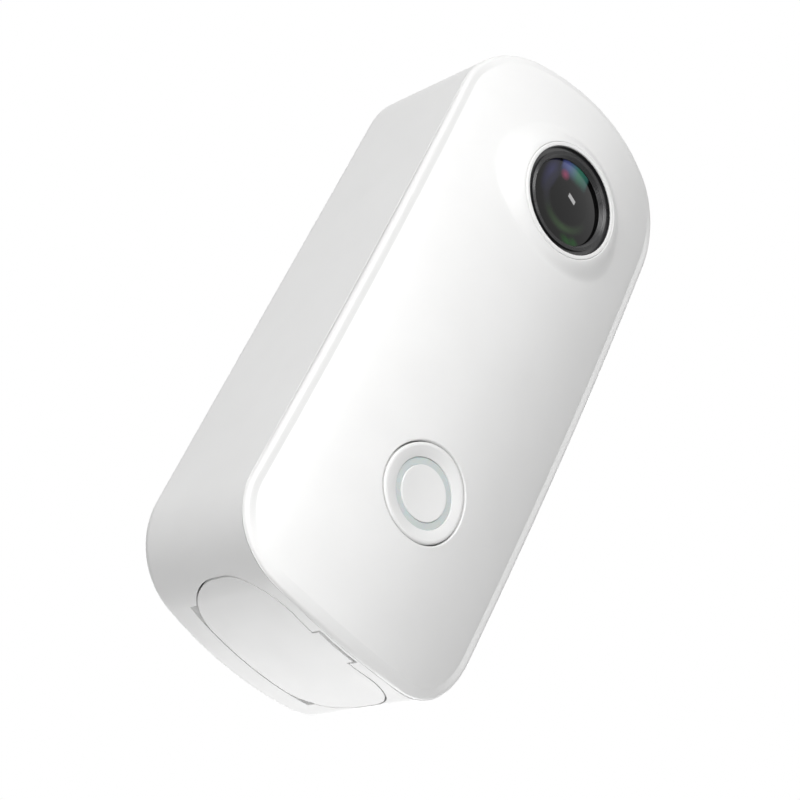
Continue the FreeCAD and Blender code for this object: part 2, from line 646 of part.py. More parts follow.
def make_door_seal():
    """The soft ring on the inside of the door, round the ports."""
    front = DOOR_FRONT - SEAL_INSET
    width = DOOR_WIDTH - 2 * SEAL_INSET
    rear = PANEL_REAR + REST_GAP
    corner = DOOR_CORNER - SEAL_INSET
    ring = plan_prism(0, front, rear, width, corner, 0, -FAR)
    inside = plan_prism(-SEAL_WIDTH, front, rear, width, corner, MARGIN, -FAR - MARGIN)
    layer = body_prism(DOOR_THICKNESS, -MARGIN).cut(body_prism(LEDGE_DEPTH, -2 * MARGIN))
    return one_solid(ring.cut(inside).common(layer))


def make_port_panel():
    """The panel behind the door, with the openings for the plug and the card."""
    room = body_prism(LEDGE_DEPTH + DOOR_SEAT_GAP, BACK_WALL).common(dome(SKIRT_DEPTH + REST_GAP))
    sides = HALF_WIDTH - WALL - COVER_CLEARANCE - SKIRT_WIDTH - PANEL_SIDE_CLEARANCE
    span = Part.makeBox(2 * sides, FACE_DEPTH, FAR, V(-sides, -FACE_DEPTH - PANEL_REAR, -FAR - PANEL_TOP))
    panel = room.common(span)
    both_sides = 2 * PORT_CLEARANCE
    usb_hole = rounded_port(USB_WIDTH + both_sides, USB_HEIGHT + both_sides, USB_MIDDLE, -FAR, FAR)
    card_hole = Part.makeBox(CARD_WIDTH + both_sides, CARD_FINGER_ROOM, FAR,
                             V(-CARD_WIDTH / 2 - PORT_CLEARANCE, -CARD_MIDDLE - CARD_FINGER_ROOM / 2, -FAR))
    return one_solid(panel.cut(usb_hole).cut(card_hole).removeSplitter())


def rounded_port(width, height, front, bottom, length):
    """A block along Z with full round ends, as the mouth of the USB socket."""
    corner = USB_END_ROUNDING * height / 2
    return plan_prism(0, front + height / 2, front - height / 2, width, corner, bottom + length, bottom)


def make_usb_socket():
    """The steel shell of the USB socket, open at its mouth."""
    outside = rounded_port(USB_WIDTH, USB_HEIGHT, USB_MIDDLE, -USB_MOUTH, USB_LENGTH)
    walls = 2 * USB_WALL
    inside = rounded_port(USB_WIDTH - walls, USB_HEIGHT - walls, USB_MIDDLE, -USB_MOUTH - MARGIN,
                          USB_LENGTH + MARGIN - walls)
    return outside.cut(inside)


def make_usb_tongue():
    """The flat contact tongue inside the USB socket."""
    length = USB_LENGTH - TONGUE_SETBACK - 2 * USB_WALL
    return Part.makeBox(TONGUE_WIDTH, TONGUE_THICKNESS, length,
                        V(-TONGUE_WIDTH / 2, -USB_MIDDLE - TONGUE_THICKNESS / 2, -USB_MOUTH + TONGUE_SETBACK))


def make_microsd_socket():
    """The flat push-push card socket on the back of the board."""
    body = Part.makeBox(CARD_SOCKET_WIDTH, CARD_SOCKET_HEIGHT, CARD_SOCKET_LENGTH,
                        V(-CARD_SOCKET_WIDTH / 2, -BOARD_BACK, -CARD_SOCKET_MOUTH))
    slot_width = CARD_WIDTH + 2 * CARD_SLOT_GAP
    slot_height = CARD_THICKNESS + 2 * CARD_SLOT_GAP
    depth = CARD_LENGTH - (CARD_END - CARD_SOCKET_MOUTH) + CARD_SPRING_ROOM
    slot = Part.makeBox(slot_width, slot_height, depth + MARGIN,
                        V(-slot_width / 2, -CARD_MIDDLE - slot_height / 2, -CARD_SOCKET_MOUTH - MARGIN))
    return body.cut(slot)


def make_microsd_card():
    """The memory card, with the step in one side."""
    left = -CARD_WIDTH / 2
    right = CARD_WIDTH / 2
    bottom = -CARD_END
    top = bottom + CARD_LENGTH
    y = -CARD_MIDDLE - CARD_THICKNESS / 2
    shoulder = bottom + CARD_LENGTH * CARD_SHOULDER_SHARE
    corners = [V(left, y, bottom), V(right, y, bottom), V(right, y, shoulder),
               V(right - CARD_STEP, y, shoulder + CARD_STEP), V(right - CARD_STEP, y, top), V(left, y, top)]
    return Part.Face(Part.makePolygon(corners + [corners[0]])).extrude(V(0, CARD_THICKNESS, 0))


def screw_places():
    """The x, z places of the four board screws."""
    top = BOARD_TOP - SCREW_INSET_Z
    bottom = SCREW_INSET_Z - BOARD_BOTTOM
    return [(SCREW_X, top), (-SCREW_X, top), (SCREW_X, bottom), (-SCREW_X, bottom)]


def make_main_board():
    """The main circuit board, with its screw holes."""
    height = BOARD_TOP + BOARD_BOTTOM
    board = block(BOARD_WIDTH, height, 0, (BOARD_TOP - BOARD_BOTTOM) / 2, BOARD_FRONT, BOARD_BACK)
    upright = [edge for edge in board.Edges if is_upright(edge)]
    board = board.makeFillet(BOARD_CORNER, upright)
    for x, z in screw_places():
        board = board.cut(disc(SCREW_SHANK_RADIUS + FIT_GAP, x, z, BOARD_FRONT + MARGIN, BOARD_BACK - MARGIN))
    return board


def make_screw(x, z):
    """One small pan head screw with a cross recess."""
    top = BOARD_FRONT + SCREW_HEAD_HEIGHT
    head = disc(SCREW_HEAD_RADIUS, x, z, top, BOARD_FRONT)
    head = head.makeFillet(SCREW_HEAD_HEIGHT / 2, [edge for edge in head.Edges if is_level(edge, top)])
    shank = disc(SCREW_SHANK_RADIUS, x, z, BOARD_FRONT + SCREW_HEAD_HEIGHT / 4, BOARD_FRONT - SCREW_LENGTH)
    screw = head.fuse(shank)
    across = block(SCREW_HEAD_RADIUS, SCREW_RECESS, x, z, top + MARGIN, top - SCREW_RECESS)
    down = block(SCREW_RECESS, SCREW_HEAD_RADIUS, x, z, top + MARGIN, top - SCREW_RECESS)
    return one_solid(screw.cut(across).cut(down))


def make_chip(width, height, x, z):
    """A flat chip on the front of the board."""
    return block(width, height, x, z, BOARD_FRONT + CHIP_THICKNESS, BOARD_FRONT)


def make_shield_can():
    """The tin cover over the two large chips."""
    front = BOARD_FRONT + SHIELD_DEPTH
    can = block(SHIELD_WIDTH, SHIELD_HEIGHT, 0, CHIP_Z, front, BOARD_FRONT)
    inside = block(SHIELD_WIDTH - 2 * SHIELD_WALL, SHIELD_HEIGHT - 2 * SHIELD_WALL, 0, CHIP_Z,
                   front - SHIELD_WALL, BOARD_FRONT - MARGIN)
    return can.cut(inside)


def make_antenna():
    """The chip antenna near the top of the board."""
    z = BOARD_TOP - ANTENNA_DROP
    return block(ANTENNA_WIDTH, ANTENNA_HEIGHT, ANTENNA_X, z, BOARD_FRONT + ANTENNA_THICKNESS, BOARD_FRONT)


def make_microphone():
    """The microphone, behind its port in the top end."""
    bottom = HALF_LENGTH - WALL - MESH_THICKNESS - MICROPHONE_HEIGHT
    return Part.makeBox(MICROPHONE_WIDTH, MICROPHONE_WIDTH, MICROPHONE_HEIGHT,
                        V(-MICROPHONE_WIDTH / 2, -MICROPHONE_Y - MICROPHONE_WIDTH / 2, bottom))


def make_microphone_mesh():
    """The round mesh between the microphone and its port."""
    bottom = HALF_LENGTH - WALL - MESH_THICKNESS
    pad = Part.makeCylinder(MESH_RADIUS, MESH_THICKNESS, V(0, -MICROPHONE_Y, bottom), AXIS_Z)
    return pad.common(body_prism(WALL, BACK_WALL))


def make_battery():
    """The flat lithium cell behind the board."""
    cell = block(BATTERY_WIDTH, BATTERY_LENGTH, 0, 0, BATTERY_FRONT, BATTERY_BACK)
    long_edges = [edge for edge in cell.Edges if is_lengthwise(edge)]
    return cell.makeFillet(BATTERY_EDGE_ROUND, long_edges)


def make_battery_tray():
    """The open tray that holds the cell against the back and carries the board on four posts."""
    outside = block(2 * TRAY_HALF_WIDTH, 2 * TRAY_HALF_LENGTH, 0, 0, TRAY_FRONT, BACK_WALL)
    inside = block(2 * (TRAY_HALF_WIDTH - TRAY_WALL), 2 * (TRAY_HALF_LENGTH - TRAY_WALL), 0, 0, TRAY_BACK,
                   BACK_WALL - MARGIN)
    tray = outside.cut(inside)
    posts = [disc(BOSS_POST_RADIUS, x, z, BOARD_BACK, TRAY_BACK) for x, z in screw_places()]
    tray = tray.fuse(posts)
    hole_back = BOARD_FRONT - SCREW_LENGTH - FIT_GAP
    for x, z in screw_places():
        tray = tray.cut(disc(SCREW_SHANK_RADIUS + FIT_GAP, x, z, BOARD_FRONT, hole_back))
    return one_solid(tray.removeSplitter())


def make_battery_connector():
    """The plug that joins the cell's leads to the back of the board."""
    z = BOARD_TOP - CONNECTOR_DROP - BATTERY_PLUG_HEIGHT / 2
    return block(BATTERY_PLUG_WIDTH, BATTERY_PLUG_HEIGHT, BATTERY_PLUG_X, z, BOARD_BACK, TRAY_FRONT + FIT_GAP)


def make_magnet(z):
    """One round magnet in its pocket behind the back wall."""
    return disc(MAGNET_RADIUS, 0, z, BACK_WALL + MAGNET_THICKNESS, BACK_WALL)


def make_magnet_yoke():
    """The thin steel plate across both magnets."""
    front = BACK_WALL + MAGNET_THICKNESS + YOKE_THICKNESS
    return block(YOKE_WIDTH, YOKE_LENGTH, 0, 0, front, BACK_WALL + MAGNET_THICKNESS)


def make_shutter_button():
    """The dished outer ring of the button, with the flange that keeps it in."""
    radius = BUTTON_HOLE_RADIUS - BUTTON_GROOVE
    flange_back = FLANGE_FRONT - FLANGE_THICKNESS
    body = disc(radius, 0, BUTTON_Z, FACE_DEPTH + MARGIN, flange_back).common(dome(0))
    low = face_front(radius, BUTTON_Z)
    dish_top = low + FACE_DEPTH
    rim_radius = radius - BUTTON_RIM
    dish_floor = face_front(0, BUTTON_Z) - BUTTON_DISH_DEPTH
    dish = turning([(0, dish_top), (rim_radius, dish_top), (rim_radius, low - FIT_GAP),
                    (RING_OUTER_RADIUS, dish_floor), (0, dish_floor)], BUTTON_Z)
    flange = disc(FLANGE_RADIUS, 0, BUTTON_Z, FLANGE_FRONT, flange_back)
    button = body.cut(dish).fuse(flange)
    ring_hole = disc(RING_OUTER_RADIUS + FIT_GAP, 0, BUTTON_Z, FACE_DEPTH + MARGIN, flange_back - MARGIN)
    return button.cut(ring_hole)


def ring_front():
    """How far in front of y = 0 the light ring's face is."""
    return face_front(0, BUTTON_Z) - BUTTON_DISH_DEPTH - RING_SET_BACK


def make_button_light_ring():
    """The translucent ring, which carries the light from the board."""
    back = FLANGE_FRONT - FLANGE_THICKNESS
    return tube(RING_OUTER_RADIUS, RING_INNER_RADIUS, 0, BUTTON_Z, ring_front(), back)


def make_button_centre():
    """The small dished disc and the stem that reaches the switch."""
    front = ring_front() + RING_SET_BACK
    cap = disc(RING_INNER_RADIUS - FIT_GAP, 0, BUTTON_Z, front, FLANGE_FRONT - FLANGE_THICKNESS)
    hollow = Part.makeSphere(CENTRE_SPHERE, V(0, -(front - CENTRE_DISH + CENTRE_SPHERE), BUTTON_Z))
    stem = disc(STEM_RADIUS, 0, BUTTON_Z, FLANGE_FRONT, STEM_BACK)
    return one_solid(cap.cut(hollow).fuse(stem).removeSplitter())


def make_button_seal():
    """The soft membrane under the button, on the end of its guide."""
    outer = FLANGE_RADIUS + GUIDE_GAP + GUIDE_WALL / 2
    inner = RING_OUTER_RADIUS + GUIDE_GAP
    return tube(outer, inner, 0, BUTTON_Z, GUIDE_BACK, GUIDE_BACK - MEMBRANE_THICKNESS)


def make_switch_housing():
    """The square housing of the shutter switch."""
    front = BOARD_FRONT + SWITCH_HEIGHT
    housing = block(SWITCH_WIDTH, SWITCH_WIDTH, 0, BUTTON_Z, front, BOARD_FRONT)
    floor = STEM_BACK - PLUNGER_LENGTH - BUTTON_TRAVEL - REST_GAP
    return housing.cut(disc(PLUNGER_RADIUS + BORE_GAP, 0, BUTTON_Z, front + MARGIN, floor))


def make_switch_plunger():
    """The switch's plunger, which the stem pushes."""
    return disc(PLUNGER_RADIUS, 0, BUTTON_Z, STEM_BACK, STEM_BACK - PLUNGER_LENGTH)


def make_status_light(index):
    """One of the lights on the board, under the light ring."""
    angle = 2 * math.pi * index / LIGHT_COUNT
    radius = (RING_OUTER_RADIUS + RING_INNER_RADIUS) / 2
    x = radius * math.cos(angle)
    z = BUTTON_Z + radius * math.sin(angle)
    return block(LIGHT_SIZE, LIGHT_SIZE, x, z, BOARD_FRONT + LIGHT_HEIGHT, BOARD_FRONT)


def make_lens_trim_ring():
    """The white ring round the black bezel, standing a little proud of the boss."""
    ring = tube(TRIM_RADIUS, BEZEL_RADIUS + FIT_GAP, 0, LENS_Z, LENS_FRONT, TRIM_BACK)
    front_edges = [edge for edge in ring.Edges if is_level(edge, LENS_FRONT)]
    outer = [edge for edge in front_edges if abs(edge.BoundBox.XLength - 2 * TRIM_RADIUS) < TOUCH]
    return ring.makeFillet(TRIM_ROUND, outer)


def make_lens_bezel():
    """The black ring round the glass, stepped down towards it."""
    front = LENS_FRONT - BEZEL_RECESS
    step = (BEZEL_RADIUS - BEZEL_BORE) / 2
    return turning([(BEZEL_RADIUS, GLASS_BACK), (BEZEL_RADIUS, front), (BEZEL_RADIUS - step / 2, front),
                    (BEZEL_BORE, front - step), (BEZEL_BORE, GLASS_BACK)], LENS_Z)


def make_front_glass():
    """The domed front element."""
    glass = disc(GLASS_RADIUS, 0, LENS_Z, LENS_FRONT, GLASS_BACK)
    ball = Part.makeSphere(GLASS_SPHERE, V(0, -(GLASS_APEX - GLASS_SPHERE), LENS_Z))
    return one_solid(glass.common(ball))


def make_lens_barrel():
    """The stepped barrel that holds the elements."""
    outside = disc(BARREL_FLANGE_RADIUS, 0, LENS_Z, GLASS_BACK, BARREL_FLANGE_BACK)
    outside = outside.fuse(disc(BARREL_RADIUS, 0, LENS_Z, BARREL_FLANGE_BACK + LENS_WELL_WALL, BARREL_BACK))
    well = disc(SECOND_RADIUS + FIT_GAP, 0, LENS_Z, GLASS_BACK + MARGIN, SECOND_BACK)
    rear_well = disc(REAR_RADIUS + FIT_GAP, 0, LENS_Z, SECOND_BACK + MARGIN, REAR_BACK)
    hole = disc(LENS_HOLE, 0, LENS_Z, FACE_DEPTH, BARREL_BACK - MARGIN)
    return one_solid(outside.cut(well).cut(rear_well).cut(hole).removeSplitter())


def make_second_element():
    """The second element, on the barrel's step."""
    return disc(SECOND_RADIUS, 0, LENS_Z, SECOND_FRONT, SECOND_BACK)


def make_rear_element():
    """The rear element, at the back of the barrel."""
    return disc(REAR_RADIUS, 0, LENS_Z, REAR_FRONT, REAR_BACK)


def make_lens_holder():
    """The square holder on the sensor board, bored for the barrel."""
    holder = block(HOLDER_WIDTH, HOLDER_WIDTH, 0, LENS_Z, HOLDER_FRONT, SENSOR_BOARD_FRONT)
    bore = disc(BARREL_RADIUS + FIT_GAP, 0, LENS_Z, HOLDER_FRONT + MARGIN, BARREL_BACK - FIT_GAP)
    room = SENSOR_WIDTH + 2 * REST_GAP
    pocket = block(room, room, 0, LENS_Z, BARREL_BACK - LENS_WELL_WALL, SENSOR_BOARD_FRONT - MARGIN)
    window = disc(REAR_RADIUS, 0, LENS_Z, HOLDER_FRONT, SENSOR_BOARD_FRONT)
    return one_solid(holder.cut(bore).cut(pocket).cut(window).removeSplitter())


def make_ir_filter():
    """The infrared filter, on the ledge over the sensor."""
    front = BARREL_BACK - LENS_WELL_WALL
    return block(FILTER_WIDTH, FILTER_WIDTH, 0, LENS_Z, front, front - FILTER_THICKNESS)


def make_image_sensor():
    """The image sensor on its board."""
    front = SENSOR_BOARD_FRONT + SENSOR_THICKNESS
    return block(SENSOR_WIDTH, SENSOR_HEIGHT, 0, LENS_Z, front, SENSOR_BOARD_FRONT)


def make_sensor_board():
    """The small board behind the lens."""
    return block(SENSOR_BOARD_WIDTH, SENSOR_BOARD_HEIGHT, 0, LENS_Z, SENSOR_BOARD_FRONT, SENSOR_BOARD_BACK)


def make_sensor_flex():
    """The flat flex from behind the sensor board down onto the front of the main board."""
    middle = (LENS_Z + CONNECTOR_BOTTOM) / 2
    return block(FLEX_WIDTH, LENS_Z - CONNECTOR_BOTTOM, 0, middle, SENSOR_BOARD_BACK, BOARD_FRONT)


def make_board_connector():
    """The connector that clamps the flex on the main board."""
    z = CONNECTOR_BOTTOM + CONNECTOR_HEIGHT / 2
    front = SENSOR_BOARD_BACK + CONNECTOR_THICKNESS
    return block(CONNECTOR_WIDTH, CONNECTOR_HEIGHT, 0, z, front, SENSOR_BOARD_BACK)


def make_cover_gasket():
    """The soft ring under the cover, just inside its skirt."""
    outside = WALL + COVER_CLEARANCE + SKIRT_WIDTH + FIT_GAP
    ring = body_prism(outside).cut(body_prism(outside + GASKET_WIDTH, -MARGIN))
    return one_solid(ring.common(dome(COVER_THICKNESS)).cut(dome(COVER_THICKNESS + GASKET_HEIGHT)))


def build():
    """Every piece of the camera, by name."""
    pieces = {
        "rear_shell": make_rear_shell(),
        "front_cover": make_front_cover(),
        "cover_gasket": make_cover_gasket(),
        "port_door": make_port_door(),
        "door_hinge_pin": make_hinge_pin(),
        "hinge_bracket": make_hinge_bracket(),
        "door_seal": make_door_seal(),
        "port_panel": make_port_panel(),
        "usb_socket": make_usb_socket(),
        "usb_tongue": make_usb_tongue(),
        "microsd_socket": make_microsd_socket(),
        "microsd_card": make_microsd_card(),
        "main_board": make_main_board(),
        "image_processor": make_chip(PROCESSOR_SIZE, PROCESSOR_SIZE, PROCESSOR_X, CHIP_Z),
        "memory_chip": make_chip(MEMORY_WIDTH, MEMORY_HEIGHT, MEMORY_X, CHIP_Z),
        "shield_can": make_shield_can(),
        "wifi_antenna": make_antenna(),
        "microphone": make_microphone(),
        "microphone_mesh": make_microphone_mesh(),
        "battery": make_battery(),
        "battery_tray": make_battery_tray(),
        "battery_connector": make_battery_connector(),
        "back_magnet_upper": make_magnet(MAGNET_SPACING / 2),
        "back_magnet_lower": make_magnet(-MAGNET_SPACING / 2),
        "magnet_yoke": make_magnet_yoke(),
        "shutter_button": make_shutter_button(),
        "button_light_ring": make_button_light_ring(),
        "button_centre": make_button_centre(),
        "button_seal": make_button_seal(),
        "switch_housing": make_switch_housing(),
        "switch_plunger": make_switch_plunger(),
        "lens_trim_ring": make_lens_trim_ring(),
        "lens_bezel": make_lens_bezel(),
        "lens_front_element": make_front_glass(),
        "lens_second_element": make_second_element(),
        "lens_rear_element": make_rear_element(),
        "lens_barrel": make_lens_barrel(),
        "lens_holder": make_lens_holder(),
        "ir_filter": make_ir_filter(),
        "image_sensor": make_image_sensor(),
        "sensor_board": make_sensor_board(),
        "sensor_flex": make_sensor_flex(),
        "board_connector": make_board_connector(),
    }
    for index, (x, z) in enumerate(screw_places()):
        pieces["board_screw_%d" % (index + 1)] = make_screw(x, z)
    for index in range(LIGHT_COUNT):
        pieces["status_light_%d" % (index + 1)] = make_status_light(index)
    return pieces


def main():
    """Write each piece to its own file."""
    os.makedirs("parts", exist_ok=True)
    for name, shape in build().items():
        shape.exportStep("parts/%s.step" % name)
        print(name, "solids", len(shape.Solids), "valid", shape.isValid(), "volume %.2f" % shape.Volume)


main()
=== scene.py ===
import math
from collections import namedtuple

import bmesh
import bpy
from mathutils import Euler, Matrix, Vector
from mathutils.geometry import delaunay_2d_cdt


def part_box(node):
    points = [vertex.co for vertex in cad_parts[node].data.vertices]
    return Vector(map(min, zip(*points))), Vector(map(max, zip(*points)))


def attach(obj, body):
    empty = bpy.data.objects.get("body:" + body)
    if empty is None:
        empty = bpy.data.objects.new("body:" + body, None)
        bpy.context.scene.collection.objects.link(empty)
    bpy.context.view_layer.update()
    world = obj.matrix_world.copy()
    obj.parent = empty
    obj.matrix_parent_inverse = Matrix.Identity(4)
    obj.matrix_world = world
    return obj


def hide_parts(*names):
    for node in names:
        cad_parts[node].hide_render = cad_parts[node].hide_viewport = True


# A small white camera, thumb sized. Its skin, lens and button are made here, in millimetres, and replace
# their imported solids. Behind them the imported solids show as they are, each in its own finish.
# The back is the plane y = 0, the front faces -Y and the lens end is up. A height is measured from the back.

MM = 0.001

# Body outline, face and rim
HALF_WIDTH = 13.0
HALF_LENGTH = 30.75
CORNER_RADIUS = 7.2
END_RADIUS = 38.0
FACE_DEPTH = 18.4
DOME_RADIUS = 26.2
CROWN_RADIUS = 450.0
RIM_RADIUS = 36.4
RIM_CROWN_RADIUS = 1028.0
RIM_DEPTH = 16.97
BAND_WIDTH = 0.95
BAND_TILT_SIDE = math.radians(3)
BAND_TILT_END = math.radians(29)
LIP_ROUND = 0.5
COVER_THICKNESS = 1.3
PLUG_INSET = 1.28

# Rows of the cover's edge, from its underside round the lip and over the band to the face
SEAM_CHAMFER = 0.04
LIP_STEPS = 8
BAND_SHARES = (0.35, 0.7, 0.9)
CREASE_LIFT = 0.008
FACE_INSETS = (1.02, 1.12, 1.35, 1.75, 2.3)

# Lens boss
LENS_Z = 18.08
BOSS_FRONT = 18.71
BOSS_BORE = 5.52
CONE_TOP = 5.95
CONE_SLOPE = 1.15
LIP_BLEND = 0.75
FOOT_BLEND = 0.6
BORE_EDGE_DROP = 0.05
BOSS_RING_STEP = 0.055
BOSS_RING_END = 8.6

# Trim ring, bezel and front element
LENS_FRONT = 18.75
TRIM_OUTER = 5.5
TRIM_INNER = 5.12
TRIM_OUTER_ROUND = 0.14
TRIM_INNER_ROUND = 0.06
TRIM_BACK = 16.9
GLASS_RADIUS = 4.1
GLASS_APEX = 18.55
GLASS_SPHERE = 20.0
GLASS_BACK = 16.5
GLASS_EDGE = 18.12
GLASS_STEPS = 40
BEZEL_OUTER = 5.1
BEZEL_BORE = 4.15
BEZEL_FRONT = 18.65
BEZEL_LIP = 0.06
BEZEL_OUTER_ROUND = 0.02
BEZEL_LIP_ROUND = 0.01
GROOVE_DEPTH = 0.25
GROOVE_LEAN = 0.03
STRIP_OUTER = 4.66
STRIP_RIDGES = 3
RIDGE_PITCH = 0.11
RIDGE_DEPTH = 0.045
RIDGE_ROUND = 0.03

# Threads of the bezel's cone. A crest lies at a share of its pitch down the cone, lifted by another share.
CONE_THREADS = 4
THREAD_DEPTH = 0.03
THREAD_ROUND = 0.02
THREAD_RUN = 0.75
THREAD_LIFT = 0.35

# Element behind the front one
INNER_RADIUS = 3.1
INNER_FRONT = 15.9
INNER_BOW = 0.5
INNER_BACK = 14.6
INNER_STEPS = 12

# Shutter button
BUTTON_Z = -15.6
BUTTON_HOLE = 4.37
BUTTON_RADIUS = 4.24
BUTTON_RIM = 0.3
BUTTON_RIM_DROP = 0.02
DISH_EDGE_DROP = 0.03
BUTTON_RIM_ROUND = 0.14
DISH_EDGE_ROUND = 0.12
DISH_DEPTH = 0.36
DISH_FOOT_ROUND = 0.03
RING_OUTER = 3.04
RING_INNER = 2.44
RING_GAP = 0.02
RING_SET_BACK = 0.1
RING_OUTER_ROUND = 0.05
RING_INNER_ROUND = 0.04
CENTRE_DISH = 0.12
CENTRE_ROUND = 0.07
CENTRE_SHARES = (0.8, 0.6, 0.4, 0.2)
STEM_RADIUS = 0.8
STEM_BACK = 14.0
BUTTON_BACK = 15.7
FLANGE_RADIUS = 5.0
FLANGE_FRONT = 16.4
FLANGE_ROUND = 0.05

# Rounded edge of the button's hole, as how far out from the hole and how far below the face
HOLE_EDGE = ((0.0, 0.14), (0.01, 0.08), (0.04, 0.035), (0.09, 0.01), (0.17, 0.0), (0.53, 0.0))

# Contacts of the USB tongue
CONTACT_COUNT = 12
CONTACT_PITCH = 0.5
CONTACT_WIDTH = 0.26
CONTACT_LENGTH = 3.2
CONTACT_HEIGHT = 0.06
CONTACT_INSET = 0.6
CONTACT_ROWS = 2

# Camera in metres and degrees, with its lens in millimetres, found from the photograph's edges
CAMERA_PLACE = (-0.0756982, -0.1421973, -0.1012466)
CAMERA_TURN = (125.47189, -22.28913, -44.39299)
CAMERA_LENS = 93.111
CAMERA_SENSOR = 36
CAMERA_NEAR = 0.01
CAMERA_FAR = 20

# Painted reflections of the coated front element, laid into its colour, in millimetres from its axis. First
# comes its dark depth seen through the glass, painted by share of the radius with a faintly lighter ring,
# then a painted pane of light with its edges and its tones from left to right. A spot is a painted
# reflection, light or dark: a colour, its place across and up, and its reach across and up. An arc is a spot
# that shows only in a ring.
DEPTH_TONES = [
    (0.0, (0.001, 0.001, 0.001)), (0.54, (0.001, 0.001, 0.001)), (0.6, (0.004, 0.004, 0.004)),
    (0.72, (0.004, 0.004, 0.004)), (0.9, (0.001, 0.001, 0.001)), (1.0, (0.0, 0.0, 0.0)),
]
PANE_LEFT = -2.35
PANE_RIGHT = 1.3
PANE_FOOT = 1.75
PANE_TOP = 6.0
PANE_SIDE_BLUR = 0.35
PANE_FOOT_BLUR = 1.5
PANE_TONES = [
    (0.0, (0.05, 0.06, 0.17)), (0.25, (0.08, 0.1, 0.26)), (0.42, (0.07, 0.14, 0.2)),
    (0.6, (0.04, 0.17, 0.11)), (0.8, (0.03, 0.13, 0.1)), (1.0, (0.03, 0.09, 0.09)),
]
REFLECTION_SPOTS = [
    ((0.03, 0.03, 0.085), -2.9, 1.2, 0.9, 2.6),
    ((0.002, 0.002, 0.003), -0.75, 0.3, 0.5, 0.35),
    ((0.002, 0.002, 0.003), 0.75, 0.85, 0.45, 0.4),
    ((0.004, 0.07, 0.006), 1.8, -3.35, 1.2, 0.5),
    ((0.004, 0.07, 0.006), 2.5, -2.9, 0.8, 0.5),
]
REFLECTION_ARCS = [
    ((0.03, 0.062, 0.024), 0.6, -2.7, 3.2, 3.0),
    ((0.02, 0.02, 0.03), -2.4, 0.0, 1.6, 3.0),
]
ARC_RADIUS = 2.75
ARC_WIDTH = 0.6
MAGENTA_REFLECTION = ((0.25, 0.04, 0.1), -1.5, 2.05, 0.6, 0.7)

# Spots of the inner element's coating hue, placed as painted reflections, in the same form, over a dark
# ground
INNER_GROUND = (0.008, 0.008, 0.009)
INNER_REFLECTION_SPOTS = [
    ((0.02, 0.02, 0.05), 0.0, 0.0, 4.5, 4.5),
    ((0.03, 0.05, 0.12), -0.8, 2.0, 2.2, 1.8),
    ((0.06, 0.18, 0.26), 0.6, 2.6, 1.6, 1.4),
    ((0.06, 0.28, 0.12), 1.7, 1.9, 1.0, 1.1),
    ((0.25, 0.03, 0.1), 0.4, 1.5, 0.7, 0.7),
    ((0.05, 0.09, 0.03), -0.6, -2.1, 2.4, 0.8),
]

# Lamps in metres and watts, each at so many degrees round the object from its front and above it
LAMPS = [
    ("side_lamp", 294.5, -5, 0.458),
    ("key_lamp", 324, 20, 1.179),
    ("low_lamp", 324, -30, 0.802),
    ("right_lamp", 108, -30, 1.35),
    ("end_lamp", 144, -30, 0.33),
    ("back_lamp", 150, 25, 0.5),
]
LAMP_SIZE = 0.25
LAMP_DISTANCE = 0.45
LAMP_TARGET = (0, -0.009, 0)
STRIP_AWAY = (0.412, -0.629, 0.66)
STRIP_ALONG = (0.91, 0.3, -0.285)
STRIP_LENGTH = 0.034
STRIP_WIDTH = 0.019
STRIP_POWER = 0.02
WORLD_STRENGTH = 0.12

# Floor in metres, square to the picture's upright
PICTURE_DOWN = (0.627, 0.199, -0.754)
FLOOR_DROP = 0.6
FLOOR_REACH = 2.5

